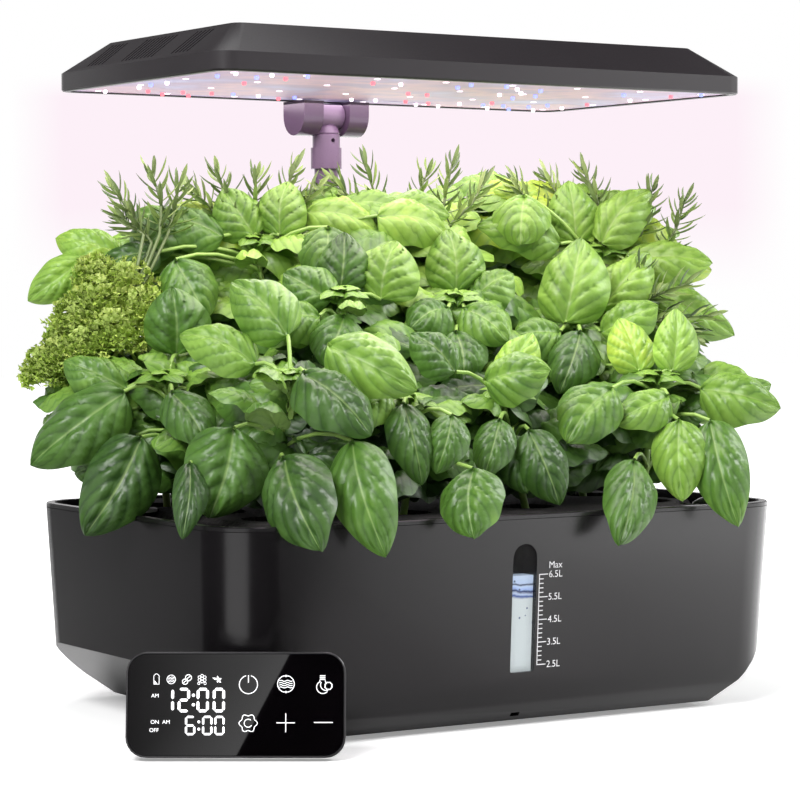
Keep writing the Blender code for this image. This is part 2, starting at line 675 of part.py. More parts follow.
def build_deck(look):
    """Flush lip, tray, pod holes, mast hole, nutrient port and fill port with its hinge ears."""
    skirt = TANK_WALL + SLIDE_FIT
    loops = [tank_outline(skirt, z, TANK_CORNER - skirt) for z in (TRAY_LOW, DECK_LOW)]
    steps = ((0.0, DECK_LOW), (0.0, LIP_TOP - LIP_EDGE), (LIP_EDGE, LIP_TOP), (LIP_WIDTH, LIP_TOP),
             (LIP_WIDTH, TRAY_TOP))
    for inset, z in steps:
        loops.append(rounded_loop(TANK_WIDTH - 2 * inset, TANK_DEPTH - 2 * inset, TANK_CORNER - inset, z))
    deck = loft("deck", loops, look["deck"])
    low = TRAY_LOW - OVERRUN
    root = TRAY_LOW + REST_GAP
    fill = lathe("deck_fill_ring", [(FILL_RING, root), (FILL_RING, TRAY_TOP + FILL_RING_HEIGHT)], None,
                 (FILL_X, FILL_Y))
    combine(deck, fill, "UNION")
    port = lathe("deck_port_ring", [(CAP_RADIUS, root), (CAP_RADIUS, TRAY_TOP + CAP_RING_HEIGHT)], None,
                 (CAP_X, CAP_Y), SMALL_SIDES)
    combine(deck, port, "UNION")
    for side in (-1, 1):
        inner = LUG_LENGTH / 2 + RUNNING_GAP
        ear = [(LID_HINGE_X - LUG_RADIUS, root), (LID_HINGE_X + LUG_RADIUS, root)]
        ear += circle((LID_HINGE_X, LID_HINGE_Z), LUG_RADIUS, CORNER_STEPS, 0.0, math.pi)
        bounds = sorted((FILL_Y + side * inner, FILL_Y + side * (inner + LUG_EAR)))
        combine(deck, prism(f"deck_ear_{side}", ear, bounds[0], bounds[1], 1, None), "UNION")
    bore = prism("deck_ear_bore", circle((LID_HINGE_X, LID_HINGE_Z), LID_PIN + REST_GAP),
                 FILL_Y - LUG_LENGTH, FILL_Y + LUG_LENGTH, 1, None)
    combine(deck, bore)
    holes = [(x, y, POD_HOLE, BASKET_SIDES) for _, _, x, y in pod_places()]
    holes.append((0.0, MAST_Y, LOWER_RADIUS + SLIDE_FIT + SOCKET_WALL + REST_GAP, ROUND_SIDES))
    holes.append((FILL_X, FILL_Y, FILL_HOLE, ROUND_SIDES))
    holes.append((CAP_X, CAP_Y, CAP_HOLE, SMALL_SIDES))
    for index, (x, y, radius, sides) in enumerate(holes):
        hole = lathe(f"deck_hole_{index}", [(radius, low), (radius, LIP_TOP + OVERRUN)], None, (x, y), sides)
        combine(deck, hole)
    return deck


def build_baskets(look):
    """Slotted planting baskets that hang in the pod holes by their flanges."""
    outer = POD_HOLE - SLIDE_FIT
    slope = (outer - BASKET_FOOT) / BASKET_DROP

    def wall(drop):
        """Outer radius of the wall at a height above the basket's foot."""
        return BASKET_FOOT + slope * drop

    levels = (BASKET_SLOT_LOW, BASKET_SLOT_HIGH)
    profile = [(BASKET_FOOT, BASKET_LOW)]
    profile += [(wall(drop), BASKET_LOW + drop) for drop in levels]
    profile += [(outer, SEAT), (BASKET_FLANGE, SEAT), (BASKET_FLANGE, BASKET_TOP)]
    profile += [(outer - BASKET_WALL, BASKET_TOP)]
    profile += [(wall(drop) - BASKET_WALL, BASKET_LOW + drop) for drop in reversed(levels)]
    profile += [(BASKET_FOOT - BASKET_WALL, BASKET_LOW + BASKET_WALL)]
    slot_outer = 1
    slot_inner = len(profile) - 3
    for column, row, x, y in pod_places():
        name = f"basket_{row + 1}_{column + 1}"
        basket = lathe(name, profile, look["basket"], (x, y), BASKET_SIDES)
        open_slots(basket.data, slot_outer, slot_inner)


def open_slots(mesh, outer_ring, inner_ring):
    """Open every second wall cell between two rings of the basket, and line the openings."""
    work = bmesh.new()
    work.from_mesh(mesh)
    work.verts.ensure_lookup_table()
    for i in range(0, BASKET_SIDES, 2):
        j = (i + 1) % BASKET_SIDES
        cells = []
        for low, high in ((outer_ring, outer_ring + 1), (inner_ring + 1, inner_ring)):
            corners = ((low, i), (low, j), (high, j), (high, i))
            cells.append([work.verts[ring * BASKET_SIDES + n] for ring, n in corners])
        out, inn = cells
        for cell in cells:
            face = next(f for f in cell[0].link_faces if all(v in f.verts for v in cell))
            work.faces.remove(face)
        for k in range(4):
            m = (k + 1) % 4
            work.faces.new((out[k], out[m], inn[m], inn[k]))
    bmesh.ops.recalc_face_normals(work, faces=work.faces)
    work.to_mesh(mesh)
    work.free()


def build_medium(look):
    """Dark layer of growing medium in the tray, open round baskets, mast socket and fill ring."""
    top = LIP_TOP - MEDIUM_BELOW_LIP
    loops = []
    for inset, z in ((0.0, SEAT), (0.0, top - MEDIUM_EDGE), (MEDIUM_EDGE, top)):
        width = MEDIUM_WIDTH - 2 * inset
        depth = MEDIUM_DEPTH - 2 * inset
        loops.append(rounded_loop(width, depth, MEDIUM_CORNER - inset, z))
    medium = loft("growing_medium", loops, look["medium"])
    holes = [(x, y, BASKET_FLANGE + SLIDE_FIT, BASKET_SIDES) for _, _, x, y in pod_places()]
    holes.append((0.0, MAST_Y, SOCKET_FLANGE + SLIDE_FIT, ROUND_SIDES))
    holes.append((FILL_X, FILL_Y, MEDIUM_LID_ROOM, SMALL_SIDES))
    holes.append((CAP_X, CAP_Y, CAP_RADIUS + OVERRUN, SMALL_SIDES))
    for index, (x, y, radius, sides) in enumerate(holes):
        hole = lathe(f"medium_hole_{index}", [(radius, SEAT - OVERRUN), (radius, LIP_TOP + OVERRUN)], None,
                     (x, y), sides)
        combine(medium, hole)
    return medium


def build_fill_lid(look):
    """Domed lid over the fill port, with its hinge knuckle, and the pin it turns on."""
    top = LID_LOW + LID_RISE - LID_WALL
    profile = [(LID_RADIUS * out, LID_LOW + LID_RISE * rise) for out, rise in LID_DOME_SHARES]
    profile += [(0.0, top), (LID_RADIUS * LID_INNER_SHARE, top - LID_INNER_DROP)]
    profile.append((LID_RADIUS - LID_WALL, LID_LOW))
    lid = lathe("fill_lid", profile, look["deck"], (FILL_X, FILL_Y), closed=True)
    radius = LUG_RADIUS - RUNNING_GAP
    arm = circle((LID_HINGE_X, LID_HINGE_Z), radius, SMALL_SIDES, math.pi / 2, 1.5 * math.pi)
    reach = FILL_X - LID_RADIUS + LUG_BITE
    low = LID_HINGE_Z - radius
    arm += [(reach, low), (reach, low + LID_WALL)]
    knuckle = prism("lid_knuckle", arm, FILL_Y - LUG_LENGTH / 2, FILL_Y + LUG_LENGTH / 2, 1, None)
    combine(lid, knuckle, "UNION")
    bore = prism("lid_bore", circle((LID_HINGE_X, LID_HINGE_Z), LID_PIN + REST_GAP),
                 FILL_Y - LUG_LENGTH, FILL_Y + LUG_LENGTH, 1, None)
    combine(lid, bore)
    half = LUG_LENGTH / 2 + RUNNING_GAP + LUG_EAR
    pin = circle((LID_HINGE_X, LID_HINGE_Z), LID_PIN)
    prism("lid_pin", pin, FILL_Y - half, FILL_Y + half, 1, look["steel"])
    move_origin(lid, (LID_HINGE_X, FILL_Y, LID_HINGE_Z))


def move_origin(item, place):
    """Put an object's origin at place without moving its surface."""
    shift = Vector(place)
    item.data.transform(Matrix.Translation(-shift))
    item.location = shift


def build_port_cap(look):
    """White domed plug in the nutrient port."""
    seat = TRAY_TOP + CAP_RING_HEIGHT + REST_GAP
    stem = CAP_HOLE - SLIDE_FIT
    wing = CAP_RADIUS + CAP_WING
    profile = [(stem, TRAY_LOW), (stem, seat), (wing, seat), (wing, seat + CAP_DOME * CAP_WING_SHARE)]
    profile += [(CAP_DOME * out, seat + CAP_DOME * rise) for out, rise in CAP_DOME_SHARES]
    lathe("port_cap", profile, look["white"], (CAP_X, CAP_Y), SMALL_SIDES)


def tube(name, radius, wall, low, high, finish, sides=ROUND_SIDES):
    """A round tube on the mast's axis."""
    profile = [(radius, low), (radius, high), (radius - wall, high), (radius - wall, low)]
    made = lathe(name, profile, finish, (0.0, MAST_Y), sides, closed=True)
    move_origin(made, (0.0, MAST_Y, low))
    return made


def gland(name, outer_tube, inner_tube, top, finish):
    """Plastic ring that caps one tube and grips the next."""
    outer = outer_tube + SLIDE_FIT + GLAND_WALL
    lip = top + GLAND_LIP
    step = top + REST_GAP
    profile = [(outer, top - GLAND_SKIRT), (outer, lip - GLAND_WALL / 2), (outer - GLAND_WALL / 2, lip),
               (inner_tube + SLIDE_FIT, lip), (inner_tube + SLIDE_FIT, step),
               (outer_tube + SLIDE_FIT, step), (outer_tube + SLIDE_FIT, top - GLAND_SKIRT)]
    lathe(name, profile, finish, (0.0, MAST_Y), closed=True)


def build_mast(look):
    """Socket, three telescopic tubes with their glands, and the head that carries the hinge."""
    bore = LOWER_RADIUS + SLIDE_FIT
    body = bore + SOCKET_WALL
    flange_top = SEAT + SOCKET_FLANGE_HEIGHT
    profile = [(0.0, SOCKET_LOW), (body, SOCKET_LOW), (body, SEAT), (SOCKET_FLANGE, SEAT),
               (SOCKET_FLANGE, flange_top), (body, flange_top), (body, SOCKET_TOP), (bore, SOCKET_TOP),
               (bore, SOCKET_LOW + SOCKET_FLOOR), (0.0, SOCKET_LOW + SOCKET_FLOOR)]
    lathe("mast_socket", profile, look["deck"], (0.0, MAST_Y))
    floor = SOCKET_LOW + SOCKET_FLOOR + REST_GAP
    tube("mast_lower_tube", LOWER_RADIUS, TUBE_WALL, floor, LOWER_TOP, look["mast"])
    gland("mast_lower_gland", LOWER_RADIUS, MIDDLE_RADIUS, LOWER_TOP, look["hinge"])
    tube("mast_middle_tube", MIDDLE_RADIUS, TUBE_WALL, MIDDLE_LOW, MIDDLE_TOP, look["mast"])
    gland("mast_middle_gland", MIDDLE_RADIUS, UPPER_RADIUS, MIDDLE_TOP, look["hinge"])
    top = HEAD_LOW + HEAD_SOCKET - REST_GAP
    tube("mast_upper_tube", UPPER_RADIUS, TUBE_WALL, UPPER_LOW, top, look["mast"])
    build_mast_head(look)


def build_mast_head(look):
    """Turned head over the upper tube, with the hinge eye across its top."""
    bore = UPPER_RADIUS + SLIDE_FIT
    groove = HEAD_RADIUS - HEAD_GROOVE
    shoulder = HEAD_RADIUS * HEAD_SHOULDER_SHARE
    crown = HEAD_RADIUS * HEAD_CROWN_SHARE
    profile = [(bore, HEAD_LOW), (HEAD_COLLAR, HEAD_LOW), (HEAD_COLLAR, HEAD_COLLAR_TOP),
               (HEAD_RADIUS, HEAD_COLLAR_TOP), (HEAD_RADIUS, HEAD_RING - HEAD_GROOVE), (groove, HEAD_RING),
               (HEAD_RADIUS, HEAD_RING + HEAD_GROOVE), (shoulder, HEAD_DOME_TOP - HEAD_SHOULDER),
               (crown, HEAD_DOME_TOP), (0.0, HEAD_DOME_TOP), (0.0, HEAD_LOW + HEAD_SOCKET),
               (bore, HEAD_LOW + HEAD_SOCKET)]
    head = lathe("mast_head", profile, look["hinge"], (0.0, MAST_Y), closed=True)
    half = CHEEK_GAP / 2 - RUNNING_GAP
    eye = prism("head_eye", circle((MAST_Y, HINGE_Z), EYE_RADIUS, ROUND_SIDES), -half, half, 0, None)
    combine(head, eye, "UNION")
    bore = circle((MAST_Y, HINGE_Z), PIN_RADIUS + REST_GAP)
    combine(head, prism("head_pin_bore", bore, -half - OVERRUN, half + OVERRUN, 0, None))
    front = MAST_Y - HEAD_RADIUS
    screw = prism("head_screw_hole", circle((0.0, HEAD_SCREW_Z), HEAD_SCREW_HOLE), front - OVERRUN,
                  front + HEAD_SCREW_DEPTH, 1, None)
    combine(head, screw)
    move_origin(head, (0.0, MAST_Y, HINGE_Z))


def build_hinge(look):
    """Two cheeks under the hood and the pin that joins them to the mast head."""
    radius = CHEEK_DEPTH / 2
    outline = [(MAST_Y + radius, CHEEK_TOP), (MAST_Y - radius, CHEEK_TOP)]
    outline += circle((MAST_Y, HINGE_Z), radius, 2 * CORNER_STEPS, math.pi, math.tau)
    inner = CHEEK_GAP / 2
    outer = inner + CHEEK_THICKNESS
    for label, side in (("left", -1), ("right", 1)):
        bounds = sorted((side * inner, side * outer))
        cheek = prism(f"hinge_cheek_{label}", outline, bounds[0], bounds[1], 0, look["hinge"], smooth=True)
        bounds = sorted((side * (inner - OVERRUN), side * (outer - CHEEK_SKIN)))
        bore = circle((MAST_Y, HINGE_Z), PIN_RADIUS + REST_GAP)
        combine(cheek, prism(f"cheek_bore_{label}", bore, bounds[0], bounds[1], 0, None))
    half = outer - CHEEK_SKIN - REST_GAP
    outline = circle((MAST_Y, HINGE_Z), PIN_RADIUS)
    pin = prism("hinge_pin", outline, -half, half, 0, look["steel"], smooth=True)
    move_origin(pin, (0.0, MAST_Y, HINGE_Z))


def hood_loop(inset, z, radius):
    """Rounded outline of the hood, drawn in by inset."""
    return rounded_loop(HOOD_WIDTH - 2 * inset, HOOD_DEPTH - 2 * inset, radius, z, (0.0, HOOD_Y), SMALL_STEPS)


def build_hood(look):
    """Thin hood with a low band, sloping sides and rows of vent slots in both end slopes."""
    run = HOOD_SLOPE_RUN
    edge = HOOD_WALL / 2
    rim = HOOD_CORNER - HOOD_RIM
    loops = [hood_loop(run, HOOD_TOP, HOOD_TOP_CORNER), hood_loop(0.0, HOOD_MID, HOOD_CORNER),
             hood_loop(0.0, HOOD_LOW + edge, HOOD_CORNER), hood_loop(edge, HOOD_LOW, HOOD_CORNER - edge),
             hood_loop(HOOD_RIM, HOOD_LOW, rim), hood_loop(HOOD_RIM, BOARD_TOP + HOOD_WALL, rim),
             hood_loop(HOOD_WALL, HOOD_MID - HOOD_WALL, HOOD_CORNER - HOOD_WALL),
             hood_loop(run + HOOD_WALL, HOOD_TOP - HOOD_WALL, HOOD_TOP_CORNER - HOOD_WALL)]
    hood = loft("hood_shell", loops, look["hood"], smooth=False)
    slope = math.atan2(HOOD_RISE, run)
    length = math.hypot(HOOD_RISE, run) * VENT_LENGTH_SHARE
    mid_z = (HOOD_MID + HOOD_TOP) / 2
    for side in (-1, 1):
        mid_x = side * (HOOD_WIDTH / 2 - run / 2)
        slots = vent_cutter(f"hood_vents_{side}", length)
        slots.matrix_world = (Matrix.Translation((mid_x, HOOD_Y, mid_z))
                              @ Matrix.Rotation(side * slope, 4, "Y"))
        combine(hood, slots)
    return hood


def vent_cutter(name, length):
    """Bars that cut the three groups of slots, each across a wall of the hood."""
    points = []
    faces = []
    reach = HOOD_DEPTH / 2 - HOOD_SLOPE_RUN - VENT_END
    for count, share in zip(VENT_COUNTS, VENT_CENTRE_SHARES):
        for index in range(count):
            y = share * reach + (index - (count - 1) / 2) * VENT_PITCH
            first = len(points)
            for z in (-OVERRUN, OVERRUN):
                for sx, sy in ((-1, -1), (1, -1), (1, 1), (-1, 1)):
                    points.append((sx * length / 2, y + sy * VENT_WIDTH / 2, z))
            for quad in BOX_FACES:
                faces.append(tuple(first + k for k in quad))
    return add_mesh(name, points, faces, None)


def led_lines(span, count):
    """Grid lines across a board: its edges and both sides of each LED."""
    reach = span / 2 - LED_MARGIN
    lines = [-span / 2]
    for index in range(count):
        centre = -reach + 2 * reach * index / (count - 1)
        lines += [centre - LED_SIDE / 2, centre + LED_SIDE / 2]
    return lines + [span / 2]


def build_led_board(look):
    """White board that closes the hood, with square LEDs standing from its underside."""
    width = HOOD_WIDTH - 2 * (HOOD_RIM + REST_GAP)
    depth = HOOD_DEPTH - 2 * (HOOD_RIM + REST_GAP)
    across = led_lines(width, LED_COLUMNS)
    along = led_lines(depth, LED_ROWS)
    work = bmesh.new()
    grid = [[work.verts.new((x, HOOD_Y + y, BOARD_LOW)) for y in along] for x in across]
    chips = []
    for i in range(len(across) - 1):
        for j in range(len(along) - 1):
            face = work.faces.new((grid[i][j], grid[i][j + 1], grid[i + 1][j + 1], grid[i + 1][j]))
            if i % 2 and j % 2:
                chips.append(face)
    rim = [edge for edge in work.edges if edge.is_boundary]
    lifted = bmesh.ops.extrude_edge_only(work, edges=rim)["geom"]
    raised = [v for v in lifted if isinstance(v, bmesh.types.BMVert)]
    bmesh.ops.translate(work, vec=(0.0, 0.0, BOARD_THICKNESS), verts=raised)
    bmesh.ops.contextual_create(work, geom=[e for e in work.edges if e.is_boundary])
    for face in chips:
        made = bmesh.ops.extrude_discrete_faces(work, faces=[face])["faces"]
        bmesh.ops.translate(work, vec=(0.0, 0.0, -LED_HEIGHT), verts=made[0].verts)
    upper = [v for v in work.verts if v.co.z > BOARD_TOP - LED_HEIGHT]
    bmesh.ops.dissolve_limit(work, angle_limit=FLAT_ANGLE, verts=upper, edges=[])
    bmesh.ops.recalc_face_normals(work, faces=work.faces)
    mesh = bpy.data.meshes.new("led_board")
    work.to_mesh(mesh)
    work.free()
    mesh.materials.append(look["led"])
    board = bpy.data.objects.new("led_board", mesh)
    bpy.context.scene.collection.objects.link(board)
    half = Vector((BOARD_SLOT_LENGTH / 2, BOARD_SLOT_WIDTH / 2, OVERRUN))
    centre = Vector((BOARD_SLOT_X, BOARD_SLOT_Y, BOARD_LOW))
    combine(board, box("led_board_slot", centre - half, centre + half, None))
    loops = [hood_loop(HOOD_RIM + REST_GAP, z, HOOD_CORNER - HOOD_RIM)
             for z in (HOOD_LOW - OVERRUN, HOOD_MID)]
    combine(board, loft("led_board_outline", loops, None), "INTERSECT")
    build_led_driver(look)


def build_led_driver(look):
    """Driver case on top of the board."""
    low = BOARD_TOP + REST_GAP
    loops = [rounded_loop(DRIVER_WIDTH, DRIVER_DEPTH, PUMP_CORNER, z, (0.0, DRIVER_Y), SMALL_STEPS)
             for z in (low, low + DRIVER_HEIGHT)]
    loft("led_driver", loops, look["driver"])


def build_pump(look):
    """Submersible pump: housing with its chamber, impeller, slotted strainer and riser tube."""
    loops = [rounded_loop(PUMP_WIDTH, PUMP_DEPTH, PUMP_CORNER, z, (PUMP_X, PUMP_Y), SMALL_STEPS)
             for z in (PUMP_LOW, PUMP_TOP)]
    housing = loft("pump_housing", loops, look["pump"])
    axis_z = PUMP_LOW + PUMP_HEIGHT / 2
    centre = (PUMP_X, axis_z)
    chamber = prism("pump_chamber", circle(centre, CHAMBER_RADIUS, ROUND_SIDES), PUMP_FRONT - OVERRUN,
                    PUMP_FRONT + CHAMBER_DEPTH, 1, None)
    combine(housing, chamber)
    spout = (PUMP_X, PUMP_FRONT + CHAMBER_DEPTH / 2)
    nozzle = lathe("pump_nozzle", [(RISER_BORE, axis_z), (RISER_BORE, PUMP_TOP + OVERRUN)], None,
                   spout, SMALL_SIDES)
    combine(housing, nozzle)
    radius = RISER_RADIUS + REST_GAP
    seat = lathe("pump_riser_seat", [(radius, PUMP_TOP - NOZZLE_SEAT), (radius, PUMP_TOP + OVERRUN)], None,
                 spout, SMALL_SIDES)
    combine(housing, seat)
    shaft = prism("pump_shaft", circle(centre, SHAFT_RADIUS), PUMP_FRONT + REST_GAP,
                  PUMP_FRONT + CHAMBER_DEPTH + OVERRUN, 1, None)
    combine(housing, shaft, "UNION")
    build_impeller(look, centre)
    half = STRAINER_WIDTH / 2
    strainer = box("pump_strainer", (PUMP_X - half, PUMP_FRONT - REST_GAP - STRAINER_THICKNESS, PUMP_LOW),
                   (PUMP_X + half, PUMP_FRONT - REST_GAP, PUMP_TOP), look["pump"])
    pitch = 2 * CHAMBER_RADIUS / STRAINER_SLOTS
    for index in range(STRAINER_SLOTS):
        x = PUMP_X + (index - (STRAINER_SLOTS - 1) / 2) * pitch
        middle = Vector((x, PUMP_FRONT, axis_z))
        half_slot = Vector((STRAINER_SLOT / 2, OVERRUN, CHAMBER_RADIUS))
        combine(strainer, box(f"strainer_slot_{index}", middle - half_slot, middle + half_slot, None))
    low = PUMP_TOP - NOZZLE_SEAT + REST_GAP
    riser = [(RISER_RADIUS, low), (RISER_RADIUS, RISER_TOP), (RISER_BORE, RISER_TOP), (RISER_BORE, low)]
    lathe("riser_tube", riser, look["clear"], spout, SMALL_SIDES, closed=True)


def build_impeller(look, centre):
    """Hub and straight blades on the pump's shaft."""
    low = PUMP_FRONT + (CHAMBER_DEPTH - IMPELLER_WIDTH) / 2
    high = low + IMPELLER_WIDTH
    hub = prism("pump_impeller", circle(centre, IMPELLER_HUB), low, high, 1, look["white"])
    for index in range(IMPELLER_BLADES):
        turn = math.tau * index / IMPELLER_BLADES
        along = Vector((math.cos(turn), math.sin(turn)))
        side = Vector((-along.y, along.x)) * BLADE_THICKNESS / 2
        middle = Vector(centre)
        start = middle + along * BLADE_THICKNESS
        end = middle + along * IMPELLER_RADIUS
        outline = [tuple(start - side), tuple(end - side), tuple(end + side), tuple(start + side)]
        combine(hub, prism(f"impeller_blade_{index}", outline, low, high, 1, None), "UNION")
    bore = prism("impeller_bore", circle(centre, SHAFT_RADIUS + REST_GAP), low - OVERRUN,
                 high + OVERRUN, 1, None)
    combine(hub, bore)
    move_origin(hub, (centre[0], PUMP_FRONT + CHAMBER_DEPTH / 2, centre[1]))


def build_inlet(look):
    """Round power inlet through the back wall."""
    face = wall_y(INLET_Z + INLET_FLANGE) + REST_GAP
    back = face + INLET_FLANGE_HEIGHT
    floor = back - INLET_BORE_DEPTH
    end = back - INLET_LENGTH
    profile = [(INLET_BARREL, face), (INLET_FLANGE, face), (INLET_FLANGE, back), (INLET_BORE, back),
               (INLET_BORE, floor), (0.0, floor), (0.0, end), (INLET_BARREL, end)]
    inlet = lathe("power_inlet", profile, look["pump"], sides=SMALL_SIDES, closed=True)
    turn = Matrix.Translation((INLET_X, 0.0, INLET_Z)) @ Matrix.Rotation(-math.pi / 2, 4, "X")
    inlet.data.transform(turn)


def build_panel(look):
    """Touch panel: frame, glass, circuit board and fold-out stand, built upright and then placed."""
    pose = bpy.data.objects.new("panel_pose", None)
    bpy.context.scene.collection.objects.link(pose)
    pose.matrix_world = panel_matrix()
    frame = panel_shell("panel_frame", look["deck"])
    frame.parent = pose
    pocket = panel_plate("panel_pocket", PANEL_BEZEL, -OVERRUN, PANEL_POCKET, None)
    combine(frame, pocket)
    for side in (-1, 1):
        combine(frame, stand_ear(side), "UNION")
    bore = stand_bar("stand_bore", STAND_STUB + REST_GAP, STAND_WIDTH, None)
    combine(frame, bore)
    inset = PANEL_BEZEL + REST_GAP
    back = REST_GAP + GLASS_THICKNESS
    glass = panel_plate("panel_glass", inset, REST_GAP, back, look["glass"])
    board = back + CIRCUIT_STANDOFF
    circuit = panel_plate("panel_circuit", inset, board, board + CIRCUIT_THICKNESS, look["circuit"])
    stand = build_stand(look)
    for piece in (glass, circuit, stand):
        piece.parent = pose
        for modifier in piece.modifiers:
            modifier.object.parent = pose


def panel_matrix():
    """Where the panel stands: its rear lower edge on the counter, turned and leant back."""
    lean = Matrix.Rotation(PANEL_LEAN, 4, "X")
    heel = lean @ Vector((0.0, PANEL_THICKNESS, 0.0))
    spot = Matrix.Translation((PANEL_X, PANEL_Y, COUNTER - heel.z + REST_GAP))
    return spot @ Matrix.Rotation(PANEL_TURN, 4, "Z") @ lean


def panel_outline(inset):
    """The panel's rounded outline in X and Z."""
    loop = rounded_loop(PANEL_WIDTH - 2 * inset, PANEL_HEIGHT - 2 * inset, PANEL_CORNER - inset, 0.0,
                        (0.0, PANEL_HEIGHT / 2))
    return [(x, z) for x, z, _ in loop]


def panel_plate(name, inset, front, back, finish):
    """A flat plate in the panel's outline."""
    return prism(name, panel_outline(inset), front, back, 1, finish)


def panel_shell(name, finish):
    """The panel's casing, with softened front and back edges."""
    steps = ((PANEL_FRONT_EDGE, 0.0), (0.0, PANEL_FRONT_EDGE), (0.0, PANEL_THICKNESS - PANEL_BACK_EDGE),
             (PANEL_BACK_EDGE, PANEL_THICKNESS))
    loops = [[(x, y, z) for x, z in panel_outline(inset)] for inset, y in steps]
    return loft(name, loops, finish)


def stand_hinge():
    """The stand's hinge in the panel's own Y and Z."""
    return PANEL_THICKNESS + STAND_BARREL + RUNNING_GAP, STAND_HINGE_HEIGHT


def stand_bar(name, radius, length, finish):
    """A round bar on the stand's hinge line."""
    reach = length / 2 + STAND_EAR + OVERRUN
    return prism(name, circle(stand_hinge(), radius), -reach, reach, 0, finish)


def stand_ear(side):
    """One of the two ears that hold the stand."""
    y, z = stand_hinge()
    root = PANEL_THICKNESS - STAND_EAR_ROOT
    outline = [(root, z - STAND_BARREL), (y, z - STAND_BARREL)]
    outline += circle((y, z), STAND_BARREL, CORNER_STEPS, -math.pi / 2, math.pi / 2)[1:]
    outline += [(root, z + STAND_BARREL)]
    inner = STAND_WIDTH / 2 + RUNNING_GAP
    bounds = sorted((side * inner, side * (inner + STAND_EAR)))
    return prism(f"stand_ear_{side}", outline, bounds[0], bounds[1], 0, None)


def build_stand(look):
    """Fold-out leg with its barrel and the stubs that turn in the ears."""
    y, z = stand_hinge()
    half = STAND_WIDTH / 2
    stand = prism("panel_stand", circle((y, z), STAND_BARREL), -half, half, 0, look["deck"], smooth=True)
    down = Vector((math.sin(STAND_ANGLE), -math.cos(STAND_ANGLE)))
    side = Vector((down.y, -down.x)) * STAND_THICKNESS / 2
    start = Vector((y, z))
    end = start + down * STAND_LENGTH
    outline = [tuple(start - side), tuple(end - side), tuple(end + side), tuple(start + side)]
    inner = half - STAND_THICKNESS
    combine(stand, prism("stand_leg", outline, -inner, inner, 0, None), "UNION")
    stub = prism("stand_stub", circle((y, z), STAND_STUB), -half - STAND_EAR, half + STAND_EAR, 0, None)
    combine(stand, stub, "UNION")
    return stand


def place(across, up, near):
    """The point that the eye sees at these hundredths of SIGHT_HALF across, up and nearer."""
    toward = SIGHT_STEP * near
    scale = (EYE_DISTANCE - toward) / EYE_DISTANCE
    right = EYE_OFFSET + SIGHT_STEP * scale * across
    height = EYE_HEIGHT + scale * (SIGHT_STEP * up - SIGHT_HALF * HORIZON_SHARE)
    turn = Matrix.Rotation(-EYE_TURN, 3, "Z")
    return turn @ Vector((right, -toward, height))


def eye_direction():
    """The way the blades of the leaves face: up, and towards the eye."""
    toward = Matrix.Rotation(-EYE_TURN, 3, "Z") @ Vector((0.0, -1.0, 0.0))
    return (toward + Vector((0.0, 0.0, FACE_UP_SHARE))).normalized()


def blade_frame(base, tip):
    """Side and face directions of a blade that runs from base to tip."""
    along = (tip - base).normalized()
    side = along.cross(eye_direction()).normalized()
    return side, side.cross(along)


def swept_shell(path, sizes, hint, sides):
    """A closed skin along a path; sizes are half width, half depth and how far the edges fold back."""
    points = []
    for number, middle in enumerate(path):
        before = path[max(number - 1, 0)]
        after = path[min(number + 1, len(path) - 1)]
        along = ((middle - before).normalized() + (after - middle).normalized()).normalized()
        side = (hint - along * hint.dot(along)).normalized()
        face = side.cross(along)
        half, depth, fold = sizes[number]
        for i in range(sides):
            turn = math.tau * i / sides
            across = -side * math.cos(turn) * half
            points.append(middle + across + face * (math.sin(turn) * depth - abs(math.cos(turn)) * fold))
    return points, ring_faces(len(path), sides)


def leaf_shell(root, base, tip, width):
    """Petiole and blade of one leaf."""
    side, face = blade_frame(base, tip)
    length = (tip - base).length
    thick = LEAF_THICKNESS / 2
    path = [root, base]
    sizes = [(PETIOLE_RADIUS, PETIOLE_RADIUS, 0.0)] * 2
    for along, spread in LEAF_STATION_SHARES:
        half = max(width / 2 * spread, thick)
        path.append(base.lerp(tip, along) + face * (4 * along * (1 - along) * LEAF_BOW_SHARE * length))
        sizes.append((half, thick, half * LEAF_FOLD_SHARE))
    return swept_shell(path, sizes, side, 4)


def sprig_shell(root, base, tip, radius):
    """A sprig as one spindle, on a thin stalk that starts inside the stem."""
    path = [root, base] + [base.lerp(tip, share) for share in SPRIG_STATION_SHARES] + [tip]
    radii = (PETIOLE_RADIUS, PETIOLE_RADIUS, radius, radius, PETIOLE_RADIUS)
    return swept_shell(path, [(r, r, 0.0) for r in radii], blade_frame(base, tip)[0], STEM_SIDES)


def frond_shell(root, centre, radius):
    """A parsley frond: a flattened ball on a thin stalk."""
    along = (centre - root).normalized()
    path = [root]
    radii = [PETIOLE_RADIUS]
    for rise, spread in TUFT_STATION_SHARES:
        path.append(centre + along * radius * rise)
        radii.append(max(radius * spread, PETIOLE_RADIUS))
    return swept_shell(path, [(r, r, 0.0) for r in radii], blade_frame(root, centre)[0], STEM_SIDES)


def ring_faces(levels, sides):
    """Faces of a closed stack of rings."""
    last = levels * sides
    faces = [tuple(range(sides)), tuple(range(last - 1, last - sides - 1, -1))]
    for low in range(0, last - sides, sides):
        for i in range(sides):
            j = (i + 1) % sides
            faces.append((low + i, low + sides + i, low + sides + j, low + j))
    return faces


